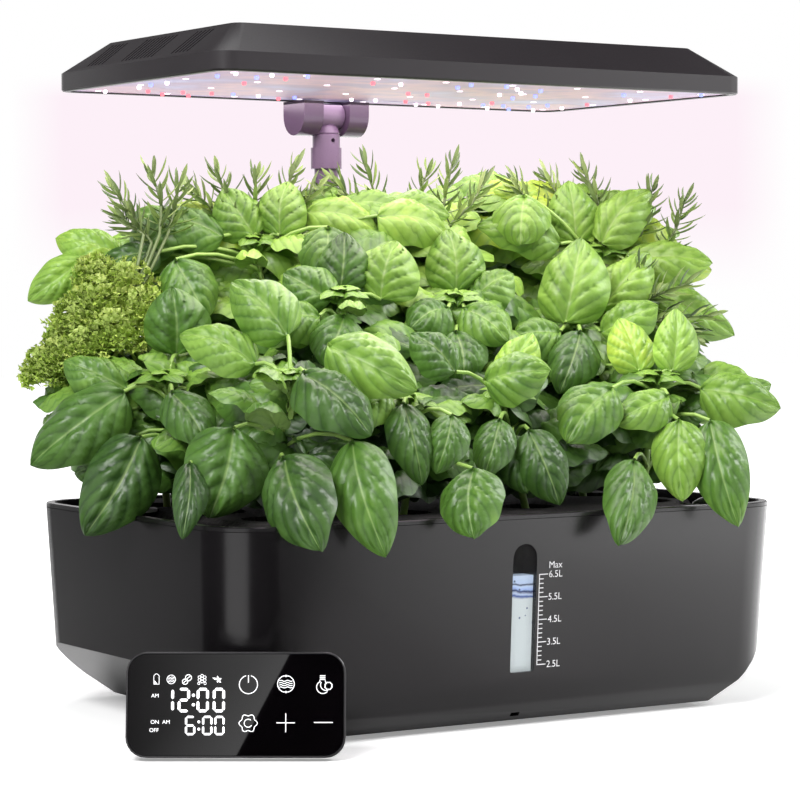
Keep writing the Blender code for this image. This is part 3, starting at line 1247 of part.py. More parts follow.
def keep_out_trees():
    """Solids that no leaf may touch: rim, mast, lid sweep and lamp, each a little enlarged."""
    grow = RIM_KEEP_OUT
    rim = [rounded_loop(TANK_WIDTH + 2 * grow, TANK_DEPTH + 2 * grow, TANK_CORNER, z)
           for z in (COUNTER, LIP_TOP + grow)]
    mast = [rounded_loop(2 * MAST_KEEP_OUT, 2 * MAST_KEEP_OUT, MAST_KEEP_CORNER, z, (0.0, MAST_Y))
            for z in (SEAT, CHEEK_TOP)]
    lid_x = LID_HINGE_X + LID_KEEP_OUT / 2
    lid = [rounded_loop(LID_KEEP_WIDTH, LID_KEEP_OUT, LUG_RADIUS, z, (lid_x, FILL_Y))
           for z in (SEAT, SEAT + LID_KEEP_HEIGHT)]
    lamp = [rounded_loop(LAMP_KEEP_WIDTH, LAMP_KEEP_DEPTH, HOOD_CORNER, z) for z in (LAMP_KEEP_OUT, HOOD_TOP)]
    return [shell_tree(*loft_shell(loops)) for loops in (rim, mast, lid, lamp)]


def loft_shell(loops):
    """Points and faces of a plain loft."""
    count = len(loops[0])
    points = [Vector(point) for loop in loops for point in loop]
    faces = [tuple(range(count)), tuple(range(count, 2 * count))]
    faces += [(i, (i + 1) % count, count + (i + 1) % count, count + i) for i in range(count)]
    return points, faces


def shell_tree(points, faces):
    """A search tree of one shell."""
    return BVHTree.FromPolygons([tuple(p) for p in points], faces, epsilon=LEAF_GAP)


def touches(shell, trees):
    """Whether a shell comes within the leaf gap of any tree."""
    own = shell_tree(*shell)
    return any(own.overlap(tree) for tree in trees)


def stem_point(foot, crown, height):
    """The stem's point at a height, kept between its foot and its crown."""
    share = (height - foot.z) / (crown.z - foot.z)
    return foot.lerp(crown, min(max(share, STEM_LOW_SHARE), STEM_HIGH_SHARE))


def nudges():
    """Sideways trials for a leaf that meets another, the smallest first."""
    yield 0.0, 1.0
    for trial in range(1, LEAF_TRIES):
        step = LEAF_NUDGE * ((trial + 1) // 2)
        yield (step if trial % 2 else -step), 1.0 - LEAF_SHRINK_SHARE * trial


def grow_basil(index, foot, crown, trees):
    """The leaves of one basil plant that fit between its neighbours."""
    toward = Matrix.Rotation(-EYE_TURN, 3, "Z") @ Vector((0.0, -1.0, 0.0))
    shells = []
    for row in LEAF_SHARES[index]:
        base = place(*row[0:3])
        tip = place(*row[3:6])
        for shift, shrink in nudges():
            root = stem_point(foot, crown, base.z - LEAF_NUDGE)
            width = SIGHT_STEP * row[6] * shrink
            shell = leaf_shell(root, base + toward * shift, tip + toward * shift, width)
            if not touches(shell, trees):
                shells.append(shell)
                break
    return shells


def grow_fronds(foot, crown, trees):
    """Parsley fronds that fit between the neighbours."""
    shells = []
    for row in FROND_SHARES:
        centre = place(*row[0:3])
        radius = TUFT_RADIUS * SIGHT_STEP_SHARE * row[3]
        for shift, shrink in nudges():
            root = stem_point(foot, crown, centre.z - TUFT_RADIUS)
            shell = frond_shell(root, centre + Vector((0.0, 0.0, shift)), radius * shrink)
            if not touches(shell, trees):
                shells.append(shell)
                break
    return shells


def grow_sprigs(index, crown, trees):
    """Upright rosemary sprigs of one plant."""
    shells = []
    for owner, row in SPRIG_SHARES:
        if owner != index:
            continue
        base = place(*row[0:3])
        tip = place(*row[3:6])
        for shift, shrink in nudges():
            lifted = tip + Vector((shift, 0.0, 0.0))
            sprig = sprig_shell(crown, base, lifted, SPRIG_RADIUS * shrink)
            if not touches(sprig, trees):
                shells.append(sprig)
                break
    return shells


def stem_foot(x, y):
    """Where the stem leaves its root plug."""
    return Vector((x, y, BASKET_TOP - BASKET_WALL + STEM_RADIUS))


def stem_shell(x, y, crown):
    """Root plug in its basket and the stem that rises from it."""
    flat = math.cos(math.pi / BASKET_SIDES)
    inner = (POD_HOLE - SLIDE_FIT - BASKET_WALL) * flat - SLIDE_FIT
    low = BASKET_LOW + BASKET_WALL + REST_GAP
    foot_radius = (BASKET_FOOT - BASKET_WALL) * flat - SLIDE_FIT
    foot = stem_foot(x, y)
    levels = ((Vector((x, y, low)), foot_radius), (Vector((x, y, SEAT)), inner),
              (foot - Vector((0.0, 0.0, STEM_RADIUS)), inner), (foot, STEM_RADIUS), (crown, STEM_RADIUS))
    points = []
    for middle, radius in levels:
        for i in range(STEM_SIDES):
            angle = math.tau * i / STEM_SIDES
            points.append(middle + Vector((radius * math.cos(angle), radius * math.sin(angle), 0.0)))
    return points, ring_faces(len(levels), STEM_SIDES)


def split_faces(mesh):
    """Split warped faces into flat triangles."""
    work = bmesh.new()
    work.from_mesh(mesh)
    bmesh.ops.triangulate(work, faces=work.faces)
    work.to_mesh(mesh)
    work.free()


def build_plants(look):
    """One plant for each pod: root plug, stem and leaves joined into one body."""
    trees = keep_out_trees()
    places = {(column, row): (x, y) for column, row, x, y in pod_places()}
    stems = []
    for _, column, row, crown_share in PLANT_SHARES:
        stems.append(stem_shell(*places[column, row], place(*crown_share)))
    stem_trees = [shell_tree(*stem) for stem in stems]
    grown = []
    for index, (kind, column, row, crown_share) in enumerate(PLANT_SHARES):
        x, y = places[column, row]
        foot = stem_foot(x, y)
        crown = place(*crown_share)
        others = trees + stem_trees[:index] + stem_trees[index + 1:] + [t for group in grown for t in group]
        shells = grow_basil(index, foot, crown, others)
        if kind == "parsley":
            shells += grow_fronds(foot, crown, others)
        shells += grow_sprigs(index, stem_point(foot, crown, crown.z), others)
        grown.append([shell_tree(*shell) for shell in shells])
        name = f"plant_{row + 1}_{column + 1}_{kind}"
        plant = add_mesh(name, *stems[index], look[kind])
        split_faces(plant.data)
        for number, shell in enumerate(shells):
            leaf = add_mesh(f"{name}_leaf_{number + 1}", *shell, look[kind])
            split_faces(leaf.data)
            combine(plant, leaf, "UNION", solver="MANIFOLD")


def main():
    """Build every piece of the garden."""
    clear_scene()
    look = finishes()
    build_tank(look)
    build_feet(look)
    build_window(look)
    build_deck(look)
    build_baskets(look)
    build_medium(look)
    build_fill_lid(look)
    build_port_cap(look)
    build_mast(look)
    build_hinge(look)
    build_hood(look)
    build_led_board(look)
    build_pump(look)
    build_inlet(look)
    build_panel(look)
    build_plants(look)


main()
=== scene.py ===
"""Looks of a countertop hydroponic garden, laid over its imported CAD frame."""

import math
import random
from functools import partial

import bpy
import numpy as np
from mathutils import Matrix, Vector


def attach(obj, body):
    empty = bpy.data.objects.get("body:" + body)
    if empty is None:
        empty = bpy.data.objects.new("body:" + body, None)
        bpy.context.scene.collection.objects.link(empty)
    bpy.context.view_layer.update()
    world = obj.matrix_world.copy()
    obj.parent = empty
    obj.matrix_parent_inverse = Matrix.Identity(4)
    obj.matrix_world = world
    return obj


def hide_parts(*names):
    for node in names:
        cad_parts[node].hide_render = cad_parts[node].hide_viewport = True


bl_info = {
    "name": "Countertop Garden Looks",
    "version": (1, 0, 0),
    "blender": (4, 5, 0),
    "location": "3D View > Sidebar > Garden",
    "description": "Finishes, scale, lamp, touch panel and herbs of a countertop hydroponic garden",
    "category": "Object",
}

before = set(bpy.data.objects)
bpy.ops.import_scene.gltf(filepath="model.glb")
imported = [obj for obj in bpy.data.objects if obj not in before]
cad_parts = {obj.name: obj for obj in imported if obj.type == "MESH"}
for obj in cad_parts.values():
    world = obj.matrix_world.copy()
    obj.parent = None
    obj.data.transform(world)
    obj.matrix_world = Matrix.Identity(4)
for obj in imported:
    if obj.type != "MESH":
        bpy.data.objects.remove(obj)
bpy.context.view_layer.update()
MM = 0.001

# Places repeated from the part, in metres
TANK_HEIGHT = 0.1158
TANK_HALF_DEPTH = 0.1245
TANK_DRAFT = 0.049
WATER_LEVEL = 0.0835
COUNTER = -0.003
REST_GAP = 0.0003
PANEL_SPOT = (-0.1948, -0.1368)
PANEL_TURN = math.radians(-32.3)
PANEL_LEAN = math.radians(-10.0)
PANEL_THICKNESS = 0.0110
POD_PITCH = (0.087, 0.062)
STEM_FOOT_Z = 0.1161
STEM_RADIUS = 0.0024
HOOD_Y = 0.0067
BOARD_LOW = 0.3642
LED_PITCH = (0.0196, 0.0208)
LED_HALF = 0.0009
LED_LEVELS = ((0.0002, 1.0), (-0.0014, 1.0), (-0.0019, 0.7))
LED_FACES = ((0, 4, 5, 1), (1, 5, 6, 2), (2, 6, 7, 3), (3, 7, 4, 0), (4, 8, 9, 5), (5, 9, 10, 6),
             (6, 10, 11, 7), (7, 11, 8, 4), (11, 10, 9, 8), (0, 1, 2, 3))
CORNERS = ((-1, -1), (1, -1), (1, 1), (-1, 1))

# No LED sits at the hinge, which is this near the middle and starts this far back, or on the board's slot,
# given by middle and half reach across and back
HINGE_ROOM = (0.028, 0.07)
BOARD_SLOT = ((0.0485, 0.024), (0.08, 0.004))

# How far ink and lit signs lie before their wall
PRINT_LIFT = 0.00012
SIGN_LIFT = 0.00008

# Room for the leaves, in metres: low and high corner of all they fill; off the rim and the mast; out of
# the sweep of the lid, as x, y and height
GROWTH_ROOM = ((-0.246, -0.145, 0.1215), (0.229, 0.130, 0.343))
RIM_CLEAR = 0.1205
RIM_REACH = (0.1945, 0.1265)
MAST_PLACE = (0.0, 0.0962)
MAST_CLEAR = 0.0195
MAST_ASIDE = 0.045
MAST_ROOM = (0.020, 0.074)
LID_SWEEP = ((0.127, 0.177), (-0.118, -0.079), 0.154)
LID_ROOM = (0.128, -0.072, 0.162)

# A placed leaf comes off the rim by millimetres: so many toward the eye, and with those upward so many
CLEAR_STEPS = (17, 26)
# How far a filling leaf stays behind the placed ones, in sight steps
FILL_BEHIND = 3.0
# Lowest and highest share of a stem that stalks leave from
STEM_SPAN = (0.12, 0.97)

# The photograph's view
CAMERA_SPOT = (-0.90905, -1.43034, 0.24413)
CAMERA_PITCH = math.radians(87.807)
CAMERA_TURN = math.radians(-32.268)
CAMERA_LENS = 126.85
SENSOR = 36.0

# Sight lines of the part: leaves are placed as they are seen from here
EYE_DISTANCE = 1.696
EYE_HEIGHT = 0.2441
EYE_TURN = math.radians(32.3)
EYE_OFFSET = -0.005
SIGHT_HALF = 0.2407
HORIZON_SHARE = 0.2775
SIGHT_STEP = SIGHT_HALF * 0.01

# The studio: half the floor's side, and its soft lamps with the one under the hood: place, aim, size,
# power and tint
FLOOR_REACH = 6.0
STUDIO_LAMPS = (
    ("key", (-1.35, -0.75, 1.45), (0.0, 0.0, 0.2), 0.9, 34.0, "#ffffff"),
    ("side", (1.35, -0.65, 1.15), (0.1, 0.0, 0.2), 0.8, 20.0, "#ffffff"),
    ("top", (0.1, 0.5, 1.9), (0.0, 0.0, 0.2), 1.0, 8.0, "#ffffff"),
    ("hood", (0.0, -0.005, 0.3615), (0.0, -0.005, 0.0), 0.30, 1.1, "#fff0f8"),
)
WHITE = (1.0, 1.0, 1.0, 1.0)

# Plants: kind, column, row and crown (across, up, near in hundredths of SIGHT_HALF)
PLANT_SHARES = (
    ("basil", 0, 0, (-27, 4, 52)),
    ("basil", 1, 0, (2, -2, 36)),
    ("basil", 2, 0, (26, 0, 18)),
    ("basil", 3, 0, (64, 4, 0)),
    ("basil", 0, 1, (-59, 4, 30)),
    ("basil", 1, 1, (-15, 25, 16)),
    ("basil", 2, 1, (14, 24, -4)),
    ("basil", 3, 1, (44, 17, -22)),
    ("parsley", 0, 2, (-68, 22, 10)),
    ("basil", 1, 2, (-36, 38, -10)),
    ("rosemary", 2, 2, (6, 40, -30)),
    ("basil", 3, 2, (50, 36, -44)),
)
PARSLEY, ROSEMARY = 8, 10

# Leaves of each basil plant: base across, up, near, tip across, up, near, width, tone, roll in degrees
# A leaf's tone holds its own green together with the light and shade it stands in, painted in
LEAF_SHARES = (
    ((-41, -8, 57, -47, -30, 63, 19, 45, 14), (-29, -17, 64, -21, -39, 80, 17, 34, -22),
     (-12, -9, 60, -4, -37, 73, 15, 48, -12), (-24, 8, 58, -7, -7, 68, 16, 38, 8),
     (-36, 10, 46, -55, 18, 42, 13, 66, 0), (-28, 17, 44, -42, 31, 38, 15, 60, 10),
     (-52, -18, 60, -54, -36, 72, 8, 28, 0)),
    ((-18, 15, 48, 4, 4, 56, 15, 66, -16), (13, -3, 46, 9, -17, 52, 10, 46, 0),
     (18, -17, 48, 18, -34, 58, 15, 50, -14), (1, 0, 48, 6, -20, 54, 11, 38, 10),
     (-3, 3, 46, -13, -6, 52, 10, 62, 0)),
    ((14, 8, 28, 3, 18, 26, 12, 44, 0), (21, 6, 26, 37, 9, 32, 14, 60, -10),
     (28, -8, 28, 32, -22, 34, 12, 34, 0), (25, -4, 32, 21, -18, 40, 10, 42, 0),
     (32, -8, 22, 40, -26, 28, 13, 34, 0), (27, 5, 16, 33, 18, 12, 11, 78, 0)),
    ((67, 2, 10, 54, -4, 16, 12, 64, 0), (69, -5, 8, 70, -25, 14, 13, 70, -8),
     (77, -4, 6, 84, -30, 18, 14, 52, -12), (75, 4, -2, 95, 0, 4, 15, 64, -8),
     (58, -15, 16, 55, -35, 34, 13, 44, 10), (68, 8, 2, 69, 24, -2, 11, 74, 0),
     (53, 4, 16, 42, -9, 26, 15, 56, 8)),
    ((-69, 3, 35, -93, -14, 42, 17, 44, 10), (-64, -12, 38, -78, -36, 46, 17, 32, 16),
     (-56, 12, 24, -57, 29, 26, 16, 50, 0), (-68, 4, 28, -84, 11, 26, 13, 56, 0),
     (-57, 3, 42, -48, -10, 52, 12, 40, 0), (-66, -8, 30, -76, -25, 30, 10, 26, 0)),
    ((-5, 26, 8, -1, 41, 4, 17, 68, 0), (-17, 26, 18, -29, 33, 16, 14, 52, 12),
     (-15, 28, 10, -14, 43, 6, 13, 40, 0), (-14, 22, 24, -19, 10, 32, 14, 46, 0),
     (-20, 22, 22, -34, 21, 26, 13, 60, 0)),
    ((16, 24, 0, 27, 17, 8, 14, 58, 0), (12, 24, 2, 3, 20, 10, 13, 48, 0),
     (14, 28, -8, 12, 44, -12, 15, 62, 0), (18, 26, -8, 28, 33, -10, 13, 56, 8),
     (14, 18, 6, 16, 6, 14, 13, 40, 0)),
    ((41, 20, -14, 45, 42, -20, 18, 66, 6), (50, 18, -16, 64, 25, -12, 14, 66, 0),
     (45, 18, -8, 40, 4, 2, 13, 38, 0), (40, 18, -12, 29, 18, -6, 13, 56, 0),
     (50, 24, -26, 62, 38, -30, 14, 76, 0), (60, 8, -2, 55, 22, -8, 12, 84, 0)),
    (),
    ((-18, 44, -2, -19, 32, 6, 15, 50, 0), (-56, 36, 2, -48, 22, 8, 15, 52, 0),
     (-79, 36, -2, -93, 26, 2, 11, 76, 20), (-70, 38, -4, -86, 42, -6, 12, 78, 0),
     (-66, 38, -2, -53, 50, -8, 13, 46, 0), (-60, 38, 0, -77, 33, 2, 11, 34, 0),
     (-52, 44, -8, -66, 49, -10, 11, 62, 0),
     (-36, 42, -8, -44, 54, -10, 14, 60, 0), (-30, 42, -8, -28, 56, -12, 13, 66, 0),
     (-44, 42, -6, -64, 46, -6, 13, 52, 0)),
    (),
    ((31, 52, -36, 30, 40, -28, 15, 66, 0), (50, 40, -40, 62, 54, -44, 14, 72, 0),
     (56, 36, -40, 78, 36, -38, 15, 74, 0), (44, 40, -42, 42, 56, -46, 14, 66, 0),
     (60, 30, -38, 84, 18, -34, 15, 70, 0), (40, 40, -36, 20, 46, -34, 14, 62, 0)),
)

# Parsley fronds: across, up, near and radius in steps; rosemary sprigs: plant, base and tip
FROND_STEP = 0.00017
FROND_SHARES = (
    (-74, 25, 8, 88), (-80, 20, 10, 80), (-68, 29, 4, 84), (-71, 17, 14, 84), (-78, 13, 14, 78),
    (-88, 8, 12, 66), (-84, 12, 12, 66), (-65, 22, 10, 76), (-75, 31, 2, 66),
)
SPRIG_SHARES = (
    (10, (3, 42, -28, 7, 58, -30)), (10, (10, 44, -32, 13, 60, -36)), (10, (0, 40, -26, -9, 60, -24)),
    (10, (12, 44, -34, 21, 55, -40)), (10, (-6, 44, -22, -17, 56, -20)), (10, (-8, 46, -20, -21, 52, -18)),
    (8, (-62, 40, 2, -72, 54, 0)), (8, (-60, 42, 2, -62, 58, -2)), (8, (-58, 42, 0, -55, 55, -4)),
    (8, (-64, 42, 4, -70, 47, 2)), (11, (60, 42, -44, 63, 54, -48)), (11, (66, 38, -42, 71, 51, -44)),
    (11, (50, 46, -46, 45, 59, -54)), (11, (44, 46, -46, 36, 57, -52)), (11, (38, 46, -46, 28, 56, -48)),
    (11, (60, 24, -30, 72, 30, -28)), (11, (62, 20, -28, 78, 22, -24)), (11, (58, 26, -30, 60, 34, -28)),
    (11, (64, 22, -28, 74, 16, -22)), (9, (-38, 44, -12, -36, 57, -16)), (9, (-34, 44, -12, -26, 59, -18)),
    (9, (-42, 44, -10, -46, 58, -12)), (9, (-44, 44, -10, -53, 54, -12)), (9, (-30, 44, -14, -20, 54, -18)),
)

# The filling leaves stand in a staggered grid of this pitch across and up, one grid behind the other
FILL_PITCH = (6.8, 6.4)
FILL_LAYERS = (-6.0, -14.0, -26.0, -40.0)

# Successive leaflets and needles turn by the golden angle round their stalk, in radians
GOLDEN_TURN = 2.39996

# What each chance starts from; every basil plant adds its number
SEEDS = {"leds": 7, "basil": 100, "filling": 4711, "parsley": 31, "rosemary": 57}

# Outline of the canopy as it is seen, for the leaves that fill it: across, up
CANOPY = ((-92, -4), (-93, 14), (-91, 30), (-84, 40), (-72, 49), (-55, 53), (-30, 54), (0, 55), (25, 57),
          (52, 55), (66, 49), (76, 40), (84, 28), (87, 16), (94, 4), (86, -10), (83, -26), (62, -32),
          (20, -32), (-20, -33), (-60, -33), (-80, -20))


def linear(code):
    """Turn an sRGB hex value into a linear colour."""
    parts = [int(code[i:i + 2], 16) / 255 for i in (1, 3, 5)]
    return tuple(p / 12.92 if p <= 0.04045 else ((p + 0.055) / 1.055) ** 2.4 for p in parts) + (1.0,)


def colour_property(name, description, code):
    """A colour that the user may change."""
    return bpy.props.FloatVectorProperty(name=name, description=description, subtype="COLOR", size=4,
                                         min=0.0, max=1.0, default=linear(code))


class GardenColours(bpy.types.PropertyGroup):
    """Colours of the garden's finishes."""

    tank: colour_property("Tank", "Moulded tank and deck", "#121012")
    hood: colour_property("Hood", "Lamp hood", "#211c20")
    # The mast's and hinge's plum colours: their dark plastic with the lamp's pink light painted in
    mast: colour_property("Mast", "Telescopic tubes of the mast", "#6c5870")
    hinge: colour_property("Hinge", "Hinge cheeks under the lamp", "#4f3d52")
    water: colour_property("Water", "Water that shows in the window", "#cfd9db")
    ink: colour_property("Ink", "Printed scale and lit signs", "#f4f4f6")
    board: colour_property("Board", "White board of the lamp under its light", "#bfa4c6")
    leaf_dark: colour_property("Dark leaf", "Shaded basil leaves", "#2c4a1c")
    leaf_mid: colour_property("Green leaf", "Grown basil leaves", "#527a2e")
    leaf_light: colour_property("Light leaf", "Young basil leaves", "#8fb84a")
    leaf_yellow: colour_property("Yellow leaf", "Leaves that turn", "#b9cc30")
    parsley: colour_property("Parsley", "Curly parsley", "#b0cc58")
    rosemary: colour_property("Rosemary", "Rosemary needles", "#4f6d30")
    floor: colour_property("Floor", "Plain pale floor", "#ffffff")
    glow: colour_property("Glow", "Light of the lamp on the backdrop", "#fdf0f8")


class GardenSizes(bpy.types.PropertyGroup):
    """Sizes and numbers of the garden's small forms."""

    scale_line: bpy.props.FloatProperty(name="Scale line", description="Width of the scale's printed lines",
                                        unit="LENGTH", default=0.00055, min=0.0001)
    needle: bpy.props.FloatProperty(name="Needle", description="Length of a rosemary needle",
                                    unit="LENGTH", default=0.0155, min=0.004)
    fill_pairs: bpy.props.IntProperty(name="Leaf pairs", description="Pairs of small leaves along each stem",
                                      default=9, min=0, max=30)
    leaflets: bpy.props.IntProperty(name="Leaflets", description="Leaflets in one frond of parsley",
                                    default=380, min=10)
    needles: bpy.props.IntProperty(name="Needles", description="Needles on one sprig of rosemary",
                                   default=26, min=6)


# ---------------------------------------------------------------- materials

def add_node(tree, kind, inputs=(), **settings):
    """Add a shader node with its settings and inputs."""
    made = tree.nodes.new("ShaderNode" + kind)
    for key, value in settings.items():
        setattr(made, key, value)
    feed(tree, made, inputs)
    return made


def feed(tree, node, inputs):
    """Fill a node's inputs: a number or colour is set; a socket, or a node's own output, is linked."""
    for key, value in dict(inputs).items():
        if isinstance(value, bpy.types.Node):
            value = next(output for output in value.outputs if output.enabled)
        if isinstance(value, bpy.types.NodeSocket):
            tree.links.new(value, node.inputs[key])
        else:
            node.inputs[key].default_value = value


def new_finish(name):
    """Start a finish: its material, what adds a node, what fills its shader, and its texture places."""
    made = bpy.data.materials.new(name)
    made.use_nodes = True
    tree = made.node_tree
    add = partial(add_node, tree)
    return made, add, partial(feed, tree, tree.nodes["Principled BSDF"]), add("TexCoord").outputs


def set_ramp(ramp, stops):
    """Give a colour ramp its stops: place and colour."""
    elements = ramp.color_ramp.elements
    while len(elements) < len(stops):
        elements.new(0.5)
    for element, (spot, colour) in zip(elements, stops):
        element.position = spot
        element.color = colour
    return ramp


def clouded(add, places, scale, stops):
    """A colour that wanders between its stops in soft clouds."""
    cloud = add("TexNoise", {"Vector": places["Object"], "Scale": scale})
    return set_ramp(add("ValToRGB", {"Fac": cloud}), stops)


def dimmed(colour, share):
    """The colour at a share of its strength."""
    return tuple(part * share for part in colour[:3]) + (1.0,)


def moulded_finish(name, colour, grain, roughness, depth=0.00002):
    """Moulded plastic: the spark-eroded tool leaves a fine pebble that breaks up the gloss.

    The grain is about 0.8 mm; it is drawn a little coarser than real so that it shows."""
    made, add, surface, places = new_finish(name)
    shade = clouded(add, places, 24.0, ((0.3, dimmed(colour, 0.92)), (0.7, dimmed(colour, 1.06))))
    pebble = add("TexNoise", {"Vector": places["Object"], "Scale": 1 / grain, "Detail": 3.0})
    rough = add("MapRange", {"Value": pebble, "From Min": 0.3, "From Max": 0.7,
                             "To Min": roughness - 0.03, "To Max": roughness + 0.03})
    bump = add("Bump", {"Height": pebble, "Strength": 0.35, "Distance": depth})
    surface({"Base Color": shade, "Roughness": rough, "Normal": bump, "IOR": 1.5})
    return made


def bumped_finish(name, kind, scale, bump, values):
    """A surface of one colour with a fine relief: its pattern and scale, the bump's strength and depth."""
    made, add, surface, places = new_finish(name)
    pattern = add(kind, {"Vector": places["Object"], "Scale": scale})
    surface({"Normal": add("Bump", {"Height": pattern, "Strength": bump[0], "Distance": bump[1]}), **values})
    return made


def clouded_finish(name, scale, stops, values):
    """A smooth surface whose colour wanders a little, with the shader's other values."""
    made, add, surface, places = new_finish(name)
    surface({"Base Color": clouded(add, places, scale, stops), **values})
    return made


def pane_finish(name):
    """Clear acrylic pane, polished: it only shows by its edge and a thin gloss."""
    made, add, surface, places = new_finish(name)
    haze = add("TexNoise", {"Vector": places["Object"], "Scale": 120.0})
    rough = add("MapRange", {"Value": haze, "To Min": 0.02, "To Max": 0.06})
    surface({"Base Color": linear("#0c0d0e"), "Roughness": rough, "IOR": 1.49, "Alpha": 0.12})
    return made


def water_finish(name, pale):
    """Gauge water: pale, small bubbles, a painted glow and painted dark blue reflections of its surface."""
    made, add, surface, places = new_finish(name)
    spot = places["Object"]
    split = add("SeparateXYZ", {"Vector": spot})
    flow = add("TexNoise", {"Vector": spot, "Scale": 90.0, "Detail": 3.0})
    drop = add("Math", {0: split.outputs["Z"], 1: WATER_LEVEL}, operation="SUBTRACT")
    bend = add("Math", {0: flow, 1: 0.0045, 2: drop}, operation="MULTIPLY_ADD")
    depth = add("MapRange", {"Value": bend, "From Min": -0.0145, "From Max": 0.0035})
    # Dark blue and pale stripes under the water line, wavy: painted reflections of the rippled surface
    ripple_reflections = ((0.27, "#31509a"), (0.34, "#c3d3ee"), (0.42, "#14245a"), (0.48, "#9fb8ea"),
               (0.58, "#c4d8f4"), (0.64, "#101c4c"), (0.69, "#bcd0ee"), (1.0, "#c6d8ee"))
    painted_reflection_bands = set_ramp(add("ValToRGB", {"Fac": depth}),
                     [(0.0, pale), (0.20, pale)] + [(level, linear(code)) for level, code in ripple_reflections])
    cells = add("TexVoronoi", {"Vector": spot, "Scale": 210.0, "Randomness": 1.0})
    sown = add("SeparateColor", {"Color": cells.outputs["Color"]})
    few = add("Math", {0: sown, 1: 0.62}, operation="GREATER_THAN")
    small = add("Math", {0: cells, 1: 0.14}, operation="LESS_THAN")
    bubble = add("Math", {0: few, 1: small}, operation="MULTIPLY")
    mixed = add("Mix", {"Factor": bubble, 6: painted_reflection_bands, 7: linear("#5c6f8c")}, data_type="RGBA")
    # The water glows as painted light, so that it reads pale behind the pane
    surface({"Base Color": mixed, "Emission Color": mixed, "Emission Strength": 0.55, "Roughness": 0.12,
             "IOR": 1.333})
    return made


def medium_finish(name):
    """Moist coconut fibre: dark crumbs with a few lighter strands."""
    made, add, surface, places = new_finish(name)
    crumbs = add("TexVoronoi", {"Vector": places["Object"], "Scale": 420.0})
    strands = add("TexNoise", {"Vector": places["Object"], "Scale": 300.0, "Detail": 6.0})
    shade = set_ramp(add("ValToRGB", {"Fac": strands}), (
        (0.35, linear("#070505")), (0.6, linear("#150f0f")), (0.75, linear("#2c211e"))))
    bump = add("Bump", {"Height": crumbs, "Strength": 0.9, "Distance": 0.0012})
    surface({"Base Color": shade, "Normal": bump, "Roughness": 0.85})
    return made


def circuit_finish(name):
    """Glass-fibre circuit board with green solder mask and darker tracks."""
    made, add, surface, places = new_finish(name)
    tracks = add("TexBrick", {"Vector": places["Object"], "Scale": 160.0, "Color1": linear("#0d4a2c"),
                              "Color2": linear("#0b3f26"), "Mortar": linear("#1d6a42"),
                              "Mortar Size": 0.02})
    surface({"Base Color": tracks, "Roughness": 0.4})
    return made


def lit_finish(name, colour, strength):
    """Light from the display or an LED behind a diffuser, slightly uneven."""
    made, add, surface, places = new_finish(name)
    shade = clouded(add, places, 600.0, ((0.3, dimmed(colour, 0.9)), (0.6, colour)))
    surface({"Emission Color": shade, "Emission Strength": strength, "Base Color": colour,
             "Roughness": 0.5})
    return made


def board_finish(name, colour):
    """White solder mask lit by its own LEDs: faint tiles in a red and blue glow, chips that shine."""
    made, add, surface, places = new_finish(name)
    spot = places["Object"]
    split = add("SeparateXYZ", {"Vector": spot})
    hue = clouded(add, places, 16.0, ((0.34, linear("#c4b8e0")), (0.46, colour),
                                      (0.60, linear("#d8b2c6")), (0.70, colour)))
    tiles = add("TexBrick", {"Vector": spot, "Scale": 22.0, "Mortar Size": 0.004, "Color1": WHITE,
                             "Color2": (0.93, 0.93, 0.95, 1), "Mortar": (0.8, 0.8, 0.84, 1)})
    board = add("Mix", {"Factor": 1.0, 6: hue, 7: tiles}, data_type="RGBA", blend_type="MULTIPLY")
    chip = add("Math", {0: split.outputs["Z"], 1: BOARD_LOW - 0.0001}, operation="LESS_THAN")
    shown = add("Mix", {"Factor": chip, 6: board, 7: linear("#fff4fb")}, data_type="RGBA")
    glow = add("MapRange", {"Value": chip, "To Min": 0.25, "To Max": 1.5})
    surface({"Base Color": shown, "Emission Color": shown, "Emission Strength": glow, "Roughness": 0.5})
    return made


